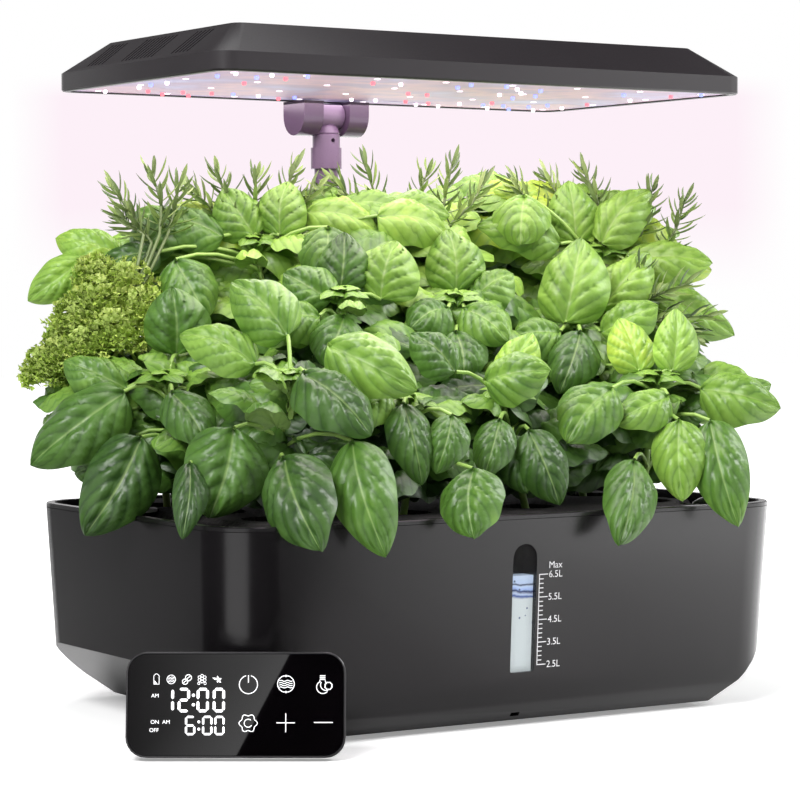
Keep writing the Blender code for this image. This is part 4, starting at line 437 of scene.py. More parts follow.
def leaf_finish(name, stops, rib, gloss, veins=5.0):
    """A herb's leaf: waxy skin over quilted tissue, paler along the midrib, with painted shade in its
    creases.

    The tone of each leaf is on its points; along and across the blade run in its UVs."""
    made, add, surface, places = new_finish(name)
    spot = places["Object"]
    split = add("SeparateXYZ", {"Vector": places["UV"]})
    tone = add("Attribute", attribute_name="tone").outputs["Fac"]
    centred = add("Math", {0: split.outputs["Y"], 1: 2.0, 2: -1.0}, operation="MULTIPLY_ADD")
    away = add("Math", {0: centred}, operation="ABSOLUTE")
    rib_mask = add("MapRange", {"Value": away, "From Min": 0.012, "From Max": 0.05, "To Min": 1.0,
                                "To Max": 0.0})
    curve = add("Math", {0: away, 1: 1.15}, operation="POWER")
    sweep = add("Math", {0: curve, 1: -0.46, 2: split}, operation="MULTIPLY_ADD")
    count = add("Math", {0: sweep, 1: veins, 2: 0.5}, operation="MULTIPLY_ADD")
    cycle = add("Math", {0: count}, operation="FRACT")
    middle = add("Math", {0: cycle, 1: 0.5}, operation="SUBTRACT")
    off_vein = add("Math", {0: middle}, operation="ABSOLUTE")
    vein_mask = add("MapRange", {"Value": off_vein, "From Min": 0.0, "From Max": 0.26, "To Min": 1.0,
                                 "To Max": 0.0})
    both = add("Math", {0: rib_mask, 1: vein_mask}, operation="MAXIMUM")
    # The side veins' creases get painted shade: the tone drops where they sink in
    crease_shade_mask = add("Math", {0: vein_mask, 1: vein_mask}, operation="MULTIPLY")
    cloud = add("TexNoise", {"Vector": spot, "Scale": 55.0, "Detail": 4.0})
    mottle = add("Math", {0: cloud, 1: 0.5}, operation="SUBTRACT")
    toned = add("Math", {0: mottle, 1: 0.36, 2: tone}, operation="MULTIPLY_ADD")
    crease_shaded = add("Math", {0: crease_shade_mask, 1: -0.10, 2: toned}, operation="MULTIPLY_ADD")
    shade = set_ramp(add("ValToRGB", {"Fac": crease_shaded}), stops)
    strength = add("Math", {0: rib_mask, 1: 0.30}, operation="MULTIPLY")
    ribbed = add("Mix", {"Factor": strength, 6: shade, 7: rib}, data_type="RGBA")
    under = add("NewGeometry").outputs["Backfacing"]
    under_share = add("Math", {0: under, 1: 0.35}, operation="MULTIPLY")
    sided = add("Mix", {"Factor": under_share, 6: ribbed, 7: rib}, data_type="RGBA")
    cells = add("TexVoronoi", {"Vector": spot, "Scale": 420.0})
    relief = add("Math", {0: both, 1: -2.0, 2: cells}, operation="MULTIPLY_ADD")
    bump = add("Bump", {"Height": relief, "Strength": 0.22, "Distance": 0.0004})
    rough = add("MapRange", {"Value": cloud, "From Min": 0.3, "From Max": 0.7,
                             "To Min": gloss - 0.06, "To Max": gloss + 0.08})
    surface({"Base Color": sided, "Normal": bump, "Roughness": rough, "IOR": 1.42, "Coat Weight": 0.25,
             "Coat Roughness": 0.30, "Coat IOR": 1.45})
    return made


def dress(finish, *names):
    """Give CAD nodes their finish and round off their shading."""
    for name in names:
        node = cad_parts[name]
        for holder in node.material_slots:
            holder.material = finish
        if not node.material_slots:
            node.data.materials.append(finish)
        soften(node)


def soften(node):
    """Shade a CAD node smooth between its real edges."""
    mesh = node.data
    normals = mesh.attributes.get("custom_normal")
    if normals:
        mesh.attributes.remove(normals)
    mesh.polygons.foreach_set("use_smooth", [True] * len(mesh.polygons))
    weld = node.modifiers.new("weld", "WELD")
    weld.merge_threshold = 0.00001
    split = node.modifiers.new("edges", "EDGE_SPLIT")
    split.split_angle = math.radians(32.0)


# ---------------------------------------------------------------- flat signs and print

def ribbon(points, width, closed=False):
    """A flat line of even width through points in a plane: corners and faces."""
    points = [Vector(p) for p in points]
    count = len(points)
    corners = []
    for i, here in enumerate(points):
        before = points[i - 1] if closed or i else here
        after = points[(i + 1) % count] if closed or i < count - 1 else here
        into = (here - before).normalized()
        out = (after - here).normalized()
        lean = (into + out).normalized()
        normal = Vector((-lean.y, lean.x))
        turn = max(abs(normal.dot(Vector((-out.y, out.x)))), 0.5) if out.length else 1.0
        corners += [here + normal * width / 2 / turn, here - normal * width / 2 / turn]
    faces = []
    for i in range(count if closed else count - 1):
        j = (i + 1) % count
        faces.append((2 * i, 2 * i + 1, 2 * j + 1, 2 * j))
    return corners, faces


def arc(centre, radius, start, end, steps=24):
    """Points of an arc; the angles are in degrees, counter-clockwise from the right."""
    turns = [math.radians(start + (end - start) * i / steps) for i in range(steps + 1)]
    return [(centre[0] + radius * math.cos(turn), centre[1] + radius * math.sin(turn)) for turn in turns]


def filled(points):
    """A filled polygon: corners and its face."""
    return [Vector(p) for p in points], [tuple(range(len(points)))]


# How high the built-in font's capitals stand, as a share of its size
CAPITAL_SHARE = 0.7


def text_shape(words, height, left, middle):
    """Flat letters of the built-in font: corners and faces, with their left edge and mid height."""
    curve = bpy.data.curves.new("words", "FONT")
    curve.body = words
    curve.size = height / CAPITAL_SHARE
    holder = bpy.data.objects.new("words", curve)
    bpy.context.scene.collection.objects.link(holder)
    graph = bpy.context.evaluated_depsgraph_get()
    mesh = bpy.data.meshes.new_from_object(holder.evaluated_get(graph))
    low = min(v.co.x for v in mesh.vertices)
    corners = [Vector((v.co.x - low + left, v.co.y + middle - height / 2)) for v in mesh.vertices]
    faces = [tuple(p.vertices) for p in mesh.polygons]
    bpy.data.objects.remove(holder)
    bpy.data.curves.remove(curve)
    bpy.data.meshes.remove(mesh)
    return corners, faces


def flat_piece(name, shapes, lay, finish, body):
    """Lay flat shapes on a face of the garden as one piece."""
    points = []
    faces = []
    for corners, polygons in shapes:
        first = len(points)
        points += [tuple(lay(corner)) for corner in corners]
        faces += [tuple(first + k for k in polygon) for polygon in polygons]
    add_piece(name, points, faces, finish, body)


def new_object(name, points, faces, finish):
    """An object of the scene from its points, faces and finish."""
    mesh = bpy.data.meshes.new(name)
    mesh.from_pydata([tuple(p) for p in points], [], faces)
    mesh.materials.append(finish)
    made = bpy.data.objects.new(name, mesh)
    bpy.context.scene.collection.objects.link(made)
    return made


def add_piece(name, points, faces, finish, body, smooth=False):
    """Make one piece of the scene and let it ride on a body."""
    made = new_object(name, points, faces, finish)
    if smooth:
        made.data.shade_smooth()
    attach(made, body)
    return made


def front_wall(corner):
    """A point of the print on the tank's drafted front wall, from millimetres across and up."""
    z = corner[1] * MM
    y = -(TANK_HALF_DEPTH - TANK_DRAFT * (TANK_HEIGHT - z)) - PRINT_LIFT
    return corner[0] * MM, y, z


def panel_matrix():
    """Where the touch panel stands: turned to the left and leant back on the counter."""
    lean = Matrix.Rotation(PANEL_LEAN, 4, "X")
    heel = lean @ Vector((0.0, PANEL_THICKNESS, 0.0))
    spot = Matrix.Translation((PANEL_SPOT[0], PANEL_SPOT[1], COUNTER - heel.z + REST_GAP))
    return spot @ Matrix.Rotation(PANEL_TURN, 4, "Z") @ lean


def scale_shapes(line):
    """Printed scale beside the window: one long line, ticks and litres, in millimetres."""
    left, low, litre = 10.1, 32.1, 12.93
    letters, words_left = 3.9, left + 6.7
    high = low + 4 * litre
    line = line / MM
    shapes = [ribbon([(left, low - line / 2), (left, high + line / 2)], line)]
    for step in range(21):
        z = low + step * litre / 5
        reach = 6.0 if step % 5 == 0 else 3.0
        shapes.append(ribbon([(left, z), (left + reach, z)], line))
    for step, words in enumerate(("2.5L", "3.5L", "4.5L", "5.5L", "6.5L")):
        shapes.append(text_shape(words, letters, words_left, low + step * litre))
    shapes.append(text_shape("Max", letters, words_left, high + 5.3))
    return shapes


SEGMENTS = {"0": "abcdef", "1": "ef", "2": "abged", "6": "afgedc"}


def digit_shapes(sign, left, low, width, height, bar):
    """A seven-segment digit with bevelled bars, as the display shows it."""
    gap = bar * 0.16
    half = height / 2
    cut = bar * 0.5
    ends = {
        "a": ((bar, height - bar / 2), (width - bar, height - bar / 2)),
        "g": ((bar, half), (width - bar, half)),
        "d": ((bar, bar / 2), (width - bar, bar / 2)),
        "f": ((bar / 2, half + cut + gap), (bar / 2, height - bar)),
        "e": ((bar / 2, bar), (bar / 2, half - cut - gap)),
        "b": ((width - bar / 2, half + cut + gap), (width - bar / 2, height - bar)),
        "c": ((width - bar / 2, bar), (width - bar / 2, half - cut - gap)),
    }
    shapes = []
    for name in SEGMENTS[sign]:
        (x0, z0), (x1, z1) = ends[name]
        if name in "agd":
            outline = [(x0 - cut + gap, z0), (x0 + gap, z0 + cut), (x1 - gap, z0 + cut),
                       (x1 + cut - gap, z0), (x1 - gap, z0 - cut), (x0 + gap, z0 - cut)]
        else:
            outline = [(x0, z0 - cut + gap), (x0 + cut, z0 + gap), (x0 + cut, z1 - gap),
                       (x0, z1 + cut - gap), (x0 - cut, z1 - gap), (x0 - cut, z0 + gap)]
        shapes.append(filled([(left + x, low + z) for x, z in outline]))
    return shapes


def lobed(x, z, radii, step):
    """A closed outline round a middle, from its radii one angle step in degrees apart."""
    return [(x + radius * math.cos(math.radians(step * k)), z + radius * math.sin(math.radians(step * k)))
            for k, radius in enumerate(radii)]


def sign_shapes():
    """Lit signs of the touch panel, in millimetres from the middle of its lower edge."""
    shapes = []

    def line(points, width, closed=False):
        shapes.append(ribbon(points, width, closed))

    def ring(x, z, radius, start, end, width, steps=24, closed=False):
        line(arc((x, z), radius, start, end, steps), width, closed)

    # Status row: low water, circulation, seedling, flower, herb
    line([(-43.4, 38.6), (-43.4, 43.0), (-42.4, 44.0), (-41.6, 44.0), (-40.6, 43.0), (-40.6, 38.6)], 0.26,
         True)
    shapes.append(filled([(-43.1, 38.9), (-43.1, 40.6), (-41.6, 39.0)]))
    ring(-34.2, 41.1, 2.3, 0, 345, 0.26, closed=True)
    for z in (39.9, 40.7, 41.5, 42.3):
        line([(-36.0 + 0.45 * i, z + 0.18 * math.sin(i * 1.6)) for i in range(9)], 0.24)
    for x, z, radius in ((-25.1, 42.0, 1.6), (-26.9, 39.9, 1.4)):
        ring(x, z, radius, 0, 345, 0.42, 16, True)
        line([(x - 0.9, z - 0.7), (x, z + 0.15), (x + 0.9, z + 0.7)], 0.4)
    for k in range(6):
        angle = math.radians(60 * k + 30)
        ring(-17.9 + 1.6 * math.cos(angle), 41.5 + 1.5 * math.sin(angle), 0.75, 0, 330, 0.26, 12, True)
    ring(-17.9, 41.5, 0.8, 0, 330, 0.3, 12, True)
    for x in (-19.6, -16.3):
        ring(x, 39.0, 0.6, 0, 330, 0.26, 12, True)
    heart = Vector((-9.6, 40.9))
    for turn, reach in ((160, 3.2), (95, 2.2), (20, 2.2), (-40, 2.4), (-95, 1.6)):
        angle = math.radians(turn)
        tip = Vector((-9.6 + reach * math.cos(angle), 40.9 + reach * math.sin(angle)))
        side = Vector((-math.sin(angle), math.cos(angle))) * 0.55
        middle = heart.lerp(tip, 0.5)
        shapes.append(filled([heart, middle + side, tip, middle - side]))
    # Words and clock
    for words, x, z in (("AM", -44.7, 32.6), ("ON", -44.8, 18.8), ("AM", -38.7, 18.8), ("OFF", -45.4, 14.5)):
        shapes.append(text_shape(words, 2.0, x, z))
    for sign, x in (("1", -34.1), ("2", -30.7), ("0", -20.7), ("0", -12.2)):
        shapes += digit_shapes(sign, x, 23.8, 6.5, 12.9, 1.5)
    for sign, x in (("6", -26.7), ("0", -17.7), ("0", -11.3)):
        shapes += digit_shapes(sign, x, 11.8, 5.5, 10.2, 1.15)
    for x, z, radius in ((-22.4, 32.8, 0.85), (-22.4, 27.8, 0.85), (-19.4, 18.8, 0.75), (-19.4, 15.0, 0.75)):
        shapes.append(filled(arc((x, z), radius, 0, 345, 15)))
    # Power, circulation, lamp setting, gear, plus, minus
    ring(6.6, 38.4, 4.8, 106, 434, 0.42, 40)
    line([(6.6, 39.4), (6.6, 43.3)], 0.42)
    for start, end in ((20, 78), (102, 258), (282, 380)):
        ring(26.4, 38.7, 4.4, start, end, 0.4)
    for sign in (1, -1):
        shapes.append(filled([(26.4 - 0.9, 38.7 + sign * 4.1), (26.4, 38.7 + sign * 4.9),
                              (26.4 + 0.9, 38.7 + sign * 4.1), (26.4, 38.7 + sign * 3.6)]))
    for k in range(4):
        line([(22.9 + 0.5 * i, 36.9 + 1.15 * k + 0.3 * math.sin(i * 0.9)) for i in range(15)], 0.36)
    for z in (43.0, 42.0, 41.1):
        line([(44.3, z), (47.2, z)], 0.5)
    line([(47.2, 40.6), (47.2, 39.8), (47.9, 39.2)], 0.35)
    line([(44.3, 40.6), (44.3, 39.6)], 0.35)
    ring(45.9, 37.0, 3.3, 112, 318, 0.4, 26)
    ring(47.6, 38.2, 2.9, 150, 292, 0.4, 20)
    line(lobed(48.9, 37.7, [1.75 + 0.3 * (k % 2) for k in range(16)], 22.5), 0.45, True)
    line(lobed(6.6, 18.1, [4.35 + 0.5 * math.cos(math.radians(6 * 5 * k)) for k in range(72)], 5), 0.42, True)
    ring(6.6, 18.1, 2.1, 50, 330, 0.42)
    line([(21.5, 18.3), (31.3, 18.3)], 0.42)
    line([(26.4, 13.4), (26.4, 23.2)], 0.42)
    line([(41.3, 18.5), (51.2, 18.5)], 0.45)
    return shapes


# ---------------------------------------------------------------- herbs

def place(across, up, near):
    """The point that the eye sees at these hundredths of SIGHT_HALF."""
    toward = SIGHT_STEP * near
    scale = (EYE_DISTANCE - toward) / EYE_DISTANCE
    right = EYE_OFFSET + SIGHT_STEP * scale * across
    height = EYE_HEIGHT + scale * (SIGHT_STEP * up - SIGHT_HALF * HORIZON_SHARE)
    return np.array(Matrix.Rotation(-EYE_TURN, 3, "Z") @ Vector((right, -toward, height)))


def seen(points):
    """Across, up and near of points: the way back from place()."""
    cos, sin = math.cos(EYE_TURN), math.sin(EYE_TURN)
    right = points[:, 0] * cos - points[:, 1] * sin
    toward = -(points[:, 0] * sin + points[:, 1] * cos)
    scale = (EYE_DISTANCE - toward) / EYE_DISTANCE
    across = (right - EYE_OFFSET) / (SIGHT_STEP * scale)
    up = ((points[:, 2] - EYE_HEIGHT) / scale + SIGHT_HALF * HORIZON_SHARE) / SIGHT_STEP
    return across, up, toward / SIGHT_STEP


EYE_WAY = np.array((-math.sin(EYE_TURN), -math.cos(EYE_TURN), 0.75))
EYE_WAY = EYE_WAY / np.linalg.norm(EYE_WAY)
EYE_FLAT = np.array((-math.sin(EYE_TURN), -math.cos(EYE_TURN), 0.0))
UP = np.array((0.0, 0.0, 1.0))


def unit(vector):
    """The vector at length one."""
    return vector / max(np.linalg.norm(vector), 1e-9)


def heading(angle, rise=0.0):
    """A way round the compass, with its rise."""
    return np.array((math.cos(angle), math.sin(angle), rise))


class Growth:
    """Points, faces, UVs and tones of one plant while it grows."""

    def __init__(self):
        self.points = []
        self.faces = []
        self.uvs = []
        self.tones = []
        self.count = 0

    def add(self, points, faces, uvs, tone):
        """Take in one form."""
        self.points.append(points)
        self.faces.append(faces + self.count)
        self.uvs.append(uvs)
        self.tones.append(np.full(len(points), tone))
        self.count += len(points)

    def tube(self, path, radii, tone, sides=6, uv=(0.5, 0.5)):
        """A stem or stalk along a path, of one radius or of one at each point."""
        path = np.array(path)
        radii = np.broadcast_to(radii, len(path))
        rings = []
        for i, middle in enumerate(path):
            along = unit(path[min(i + 1, len(path) - 1)] - path[max(i - 1, 0)])
            side = unit(np.cross(along, EYE_WAY))
            face = np.cross(side, along)
            turn = np.linspace(0, math.tau, sides, endpoint=False)[:, None]
            rings.append(middle + radii[i] * (np.cos(turn) * side + np.sin(turn) * face))
        i, j = np.meshgrid(np.arange(len(path) - 1), np.arange(sides), indexing="ij")
        k = (j + 1) % sides
        faces = np.stack([i * sides + j, (i + 1) * sides + j, (i + 1) * sides + k, i * sides + k], -1)
        points = np.concatenate(rings)
        self.add(points, faces.reshape(-1, 4), np.tile(uv, (len(points), 1)), tone)

    def blade(self, grid, tone):
        """A leaf blade from its grid of points."""
        rows, columns = grid.shape[:2]
        i, j = np.meshgrid(np.arange(rows - 1), np.arange(columns - 1), indexing="ij")
        faces = np.stack([i * columns + j, i * columns + j + 1, (i + 1) * columns + j + 1,
                          (i + 1) * columns + j], -1).reshape(-1, 4)
        u, v = np.meshgrid(np.linspace(0, 1, rows), np.linspace(0, 1, columns), indexing="ij")
        self.add(grid.reshape(-1, 3), faces, np.stack([u, v], -1).reshape(-1, 2), tone)

    def piece(self, name, finish, node, slot):
        """Finish the plant as one piece in its CAD node's place."""
        points = np.concatenate(self.points)
        faces = np.concatenate(self.faces)
        made = add_piece(name, points.tolist(), faces.tolist(), finish, "garden", smooth=True)
        mesh = made.data
        uvs = np.concatenate(self.uvs)
        layer = mesh.uv_layers.new(name="blade")
        layer.data.foreach_set("uv", uvs[faces.reshape(-1)].reshape(-1))
        tones = mesh.attributes.new("tone", "FLOAT", "POINT")
        tones.data.foreach_set("value", np.concatenate(self.tones))
        if node:
            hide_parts(node)


# Leaf kinds: grid of the blade, pairs of side veins, and shares of the width: how far the quilting
# stands up, the edge waves and the sides bend back; point is how slender the blade's tip is
BASIL = {"rows": 32, "columns": 14, "veins": 5, "puff": 0.135, "wave": 0.040, "fold": 0.30, "point": 0.64}
FILLER = {"rows": 22, "columns": 10, "veins": 5, "puff": 0.125, "wave": 0.045, "fold": 0.28, "point": 0.62}
YOUNG = {"rows": 10, "columns": 6, "veins": 4, "puff": 0.07, "wave": 0.03, "fold": 0.20, "point": 0.66}


def leaf_grid(base, tip, width, kind, roll=0.0, bow=0.10, droop=0.10, chance=0.0, facing=EYE_WAY):
    """Points of a quilted leaf blade, whose edges bend back and whose veins sink in."""
    span = tip - base
    length = np.linalg.norm(span)
    along = span / length
    side = unit(np.cross(along, facing))
    face = np.cross(side, along)
    turn = math.radians(roll)
    side, face = side * math.cos(turn) + face * math.sin(turn), face * math.cos(turn) - side * math.sin(turn)
    u = np.linspace(0, 1, kind["rows"] + 1)[:, None]
    v = np.linspace(-1, 1, kind["columns"] + 1)[None, :]
    away = np.abs(v)
    outline = np.clip(2.02 * u ** 0.42 * (1 - u) ** kind["point"] * (1 - 0.3 * u ** 6), 0.02, None)
    vein = (u - 0.46 * away ** 1.15) * kind["veins"]
    puff = (np.abs(np.sin(math.pi * vein)) ** 0.75 * (1 - np.exp(-(away / 0.22) ** 2)) * (1 - away ** 4)
            * kind["puff"] * width * np.sin(math.pi * u) ** 0.4)
    groove = -0.090 * width * np.exp(-(away / 0.14) ** 2) * (1 - 0.7 * u)
    fold = -kind["fold"] * width * away ** 1.7 * outline
    wave = kind["wave"] * width * away ** 2 * np.sin(math.tau * (2.6 * u + chance + 0.37 * np.sign(v)))
    arch = bow * length * 4 * u * (1 - u)
    curl = -droop * length * u ** 3
    sway = 0.05 * length * math.sin(7 * chance) * np.sin(math.pi * u)
    height = puff + groove + fold + wave + arch + curl
    across = v * outline * width / 2 + sway
    ahead = u * length
    return base + ahead[..., None] * along + across[..., None] * side + height[..., None] * face


def curved(start, end, sag, steps=5, back=0.0):
    """Path of a stalk that rises away from the stem, leans back and bends over to its blade."""
    share = np.linspace(0, 1, steps)[:, None]
    return start + (end - start) * share + (UP * sag - EYE_FLAT * back) * 4 * share * (1 - share)


def stem_point(foot, crown, height):
    """The stem's point at a height."""
    share = min(max((height - foot[2]) / (crown[2] - foot[2]), STEM_SPAN[0]), STEM_SPAN[1])
    return foot + (crown - foot) * share


def pod_foot(column, row):
    """Where a plant's stem leaves its basket."""
    return np.array(((column - 1.5) * POD_PITCH[0], (row - 1) * POD_PITCH[1], STEM_FOOT_Z))


class Canopy:
    """What the leaves that fill the plants must stay behind and inside of."""

    def __init__(self):
        self.depth = {}

    def note(self, points):
        """Remember how near the placed leaves come."""
        for across, up, near in zip(*seen(points)):
            cell = (round(across / 2), round(up / 2))
            self.depth[cell] = max(self.depth.get(cell, -math.inf), near)

    def allows(self, points):
        """Whether a filling leaf stays behind the placed ones, in the canopy and off the other parts."""
        x, y, z = points.T
        outside = (points < GROWTH_ROOM[0]) | (points > GROWTH_ROOM[1])
        mast = (np.abs(x) < MAST_ROOM[0]) & (y > MAST_ROOM[1])
        lid = (x > LID_ROOM[0]) & (y < LID_ROOM[1]) & (z < LID_ROOM[2])
        if outside.any() or mast.any() or lid.any():
            return False
        for across, up, near in zip(*seen(points)):
            if not inside(across, up):
                return False
            limit = self.depth.get((round(across / 2), round(up / 2)))
            if limit is not None and near > limit - FILL_BEHIND:
                return False
        return True


def inside(across, up):
    """Whether a sight point lies in the canopy's outline."""
    found = False
    for (x0, y0), (x1, y1) in zip(CANOPY, CANOPY[1:] + CANOPY[:1]):
        if (y0 > up) != (y1 > up) and across < x0 + (up - y0) * (x1 - x0) / (y1 - y0):
            found = not found
    return found


def clear(grid):
    """Bring a placed leaf toward the eye, and then up, until it is off the tank's rim and the lid's sweep."""
    for step in range(CLEAR_STEPS[1]):
        x, y, z = grid.reshape(-1, 3).T
        rim = (z < RIM_CLEAR) & (np.abs(x) < RIM_REACH[0]) & (np.abs(y) < RIM_REACH[1])
        (left, right), (front, back), high = LID_SWEEP
        lid = (x > left) & (x < right) & (y > front) & (y < back) & (z < high)
        if not (rim | lid).any():
            break
        grid = grid + (EYE_FLAT * MM if step < CLEAR_STEPS[0] else UP * MM)
    return grid


def foam_plug(column, row, finish):
    """The foam plug that holds the roots in the basket."""
    foot = pod_foot(column, row)
    sides = 20
    levels = ((0.0655, 0.0075), (0.075, 0.0086), (0.1085, 0.0112), (0.1135, 0.0114), (0.1150, 0.0100))
    points = []
    for z, radius in levels:
        for k in range(sides):
            turn = math.tau * k / sides
            points.append((foot[0] + radius * math.cos(turn), foot[1] + radius * math.sin(turn), z))
    faces = [tuple(range(sides - 1, -1, -1)), tuple(range(len(points) - sides, len(points)))]
    for level in range(len(levels) - 1):
        for k in range(sides):
            low = level * sides
            faces.append((low + k, low + (k + 1) % sides, low + sides + (k + 1) % sides, low + sides + k))
    add_piece(f"foam_plug_{row + 1}_{column + 1}", points, faces, finish, "garden",
              smooth=True)


def grow_stem(growth, foot, crown, tone):
    """A slightly bent main stem."""
    share = np.linspace(0, 1, 9)[:, None]
    lean = np.array((math.sin(foot[0] * 90), math.cos(foot[1] * 70), 0.0)) * 0.004
    path = foot + (crown - foot) * share + lean * np.sin(math.pi * share)
    path[0][2] -= 0.003
    growth.tube(path, np.linspace(STEM_RADIUS, STEM_RADIUS * 0.6, 9), tone, sides=8)


def grow_basil(index, canopy, pairs):
    """One basil plant: placed leaves, small filling leaves and a growing tip."""
    column, row, crown_share = PLANT_SHARES[index][1:]
    rng = random.Random(SEEDS["basil"] + index)
    growth = Growth()
    foot = pod_foot(column, row)
    crown = place(*crown_share)
    grow_stem(growth, foot, crown, 0.75)
    for leaf in LEAF_SHARES[index]:
        base = place(*leaf[0:3])
        tip = place(*leaf[3:6])
        root = stem_point(foot, crown, base[2] - 0.006)
        grid = leaf_grid(base, tip, SIGHT_STEP * leaf[6] * 1.04, BASIL, roll=leaf[8],
                         bow=0.10 + 0.05 * rng.random(), droop=0.05 + 0.1 * rng.random(), chance=rng.random())
        grid = clear(grid)
        growth.blade(grid, leaf[7] / 100)
        growth.tube(curved(root, grid[0].mean(axis=0), 0.006), 0.0012, 0.75)
    turn = rng.random() * math.pi
    for pair in range(pairs):
        share = 0.28 + 0.72 * pair / max(pairs - 1, 1)
        start = foot + (crown - foot) * share
        turn += math.pi / 2 + 0.3 * (rng.random() - 0.5)
        for side in (0, math.pi):
            for attempt in range(5):
                angle = turn + side + (rng.random() - 0.5) * (0.3 + 0.5 * attempt)
                out = heading(angle)
                reach = (0.054 - 0.016 * share) * (0.8 + 0.4 * rng.random()) * (1 - 0.09 * attempt)
                base = start + out * 0.012 + UP * 0.006
                tip = base + out * reach + UP * reach * (0.25 - 0.75 * rng.random() + 0.3 * share)
                grid = leaf_grid(base, tip, reach * (0.66 + 0.1 * rng.random()), FILLER,
                                 roll=rng.uniform(-12, 12), bow=0.14, droop=0.12, chance=rng.random(),
                                 facing=unit(UP + EYE_WAY * 0.4))
                if canopy.allows(grid[::4, ::5].reshape(-1, 3)):
                    tone = 0.20 + 0.38 * share + 0.16 * rng.random() + 0.05 * row
                    growth.blade(grid, tone)
                    growth.tube(curved(start, grid[0].mean(axis=0), 0.003), 0.0010, 0.7, sides=5)
                    break
    grow_tip(growth, crown, rng, 0.62)
    return growth


def fill_canopy(growths, canopy):
    """Leaves that close the gaps between the placed ones, each on the plant that stands nearest to it."""
    rng = random.Random(SEEDS["filling"])
    spots = []
    for layer, behind in enumerate(FILL_LAYERS):
        for column in range(-14, 15):
            for line in range(-5, 10):
                across = FILL_PITCH[0] * (column + 0.5 * (line % 2)) + rng.uniform(-2.4, 2.4) + 3.1 * layer
                up = FILL_PITCH[1] * line + rng.uniform(-2.2, 2.2) + 2.9 * layer
                spots.append((across, up, behind + rng.uniform(-4, 4)))
    for across, up, behind in spots:
        if not inside(across, up):
            continue
        index = min(growths, key=lambda i: crown_distance(i, across, up))
        column, row, crown_share = PLANT_SHARES[index][1:]
        crown = place(*crown_share)
        foot = pod_foot(column, row)
        near = (crown_share[2] + behind + max(0.0, crown_share[1] - up) * 0.25
                + max(0.0, across - 58) * 1.3)
        middle = place(across, up, near)
        root = stem_point(foot, crown, middle[2] - 0.010)
        for attempt in range(4):
            out = unit((middle - root) * np.array((1.0, 1.0, 0.35)) + EYE_WAY * rng.uniform(-0.01, 0.02)
                       + np.array((rng.uniform(-1, 1), rng.uniform(-1, 1), -0.2)) * 0.012)
            reach = rng.uniform(0.036, 0.056) * (1 - 0.12 * attempt)
            base = middle - out * reach * 0.5
            tip = middle + out * reach * 0.5 - UP * reach * rng.uniform(0.0, 0.5)
            grid = leaf_grid(base, tip, reach * rng.uniform(0.62, 0.74), FILLER, roll=rng.uniform(-25, 25),
                             bow=rng.uniform(0.08, 0.18), droop=rng.uniform(0.02, 0.2), chance=rng.random(),
                             facing=unit(EYE_WAY + UP * 0.4 + out * rng.uniform(-0.2, 0.3)))
            # The filling leaves grow lighter upward and toward the sides: lighter young growth at the top,
            # and painted shade deep in the canopy with painted light on its top and sides
            tone = 0.30 + 0.0075 * up + 0.0022 * abs(across) + rng.uniform(-0.13, 0.17)
            end = grid[0].mean(axis=0)
            span = np.linalg.norm(end - root)
            paths = [curved(root, end, 0.004, 13, back) for back in (0.006 + 0.3 * span, 0.0, -0.3 * span)]
            paths = [path for path in paths if off_mast(path)]
            if paths and canopy.allows(grid[::4, ::5].reshape(-1, 3)):
                paths = [path for path in paths if before_mast(path)]
                if paths:
                    growths[index].blade(grid, min(max(tone, 0.08), 0.9))
                    growths[index].tube(paths[0], 0.0010, 0.6, sides=5)
                break


def off_mast(path):
    """Whether a stalk keeps off the mast, also where the mast is drawn out."""
    return (np.hypot(path[:, 0] - MAST_PLACE[0], path[:, 1] - MAST_PLACE[1]) > MAST_CLEAR).all()


def before_mast(path):
    """Whether a stalk stays in front of the mast."""
    return not ((np.abs(path[:, 0]) < MAST_ASIDE) & (path[:, 1] > MAST_PLACE[1] - MAST_CLEAR)).any()


def crown_distance(index, across, up):
    """How far a sight point lies from a plant's crown; a plant carries few leaves above it."""
    crown = PLANT_SHARES[index][3]
    return math.hypot(crown[0] - across, (crown[1] - up) * (0.7 if up < crown[1] else 2.0))


def grow_tip(growth, crown, rng, tone):
    """A rosette of young leaves at the end of a shoot."""
    for level, (count, reach, rise) in enumerate(((4, 0.019, 0.45), (4, 0.015, 0.8), (4, 0.010, 1.3))):
        for k in range(count):
            angle = math.tau * (k / count + level * 0.31 + 0.1 * rng.random())
            out = unit(heading(angle, rise))
            base = crown + UP * 0.002 * level
            grid = leaf_grid(base, base + out * reach, reach * 0.82, YOUNG, bow=0.25, droop=0.3,
                             chance=rng.random(), facing=unit(UP + out * 0.2 + EYE_WAY * 0.3))
            growth.blade(grid, tone + 0.06 * level)


def grow_frond(growth, root, centre, radius, count, rng):
    """A curly frond: a branching stalk with a cloud of crinkled leaflets."""
    hub = centre - UP * radius * 0.5
    growth.tube(curved(root, hub, 0.004), np.linspace(0.0013, 0.0009, 5), 0.8)
    for k in range(count):
        height = 1 - 1.7 * (k + 0.5) / count
        angle = k * GOLDEN_TURN + rng.random() * 0.5
        flat = math.sqrt(max(1 - height * height, 0.0))
        out = np.array((math.cos(angle) * flat, math.sin(angle) * flat, height))
        spread = radius * (0.45 + 0.95 * rng.random() ** 0.8)
        spot = centre + out * spread * np.array((1.0, 1.0, 0.85))
        if k % 6 == 0:
            growth.tube(curved(hub, spot - out * 0.004, 0.001, 3), (0.0007, 0.0005, 0.0004), 0.8, sides=4)
        leaflet(growth, spot, out, rng.uniform(0.0018, 0.0042), rng)


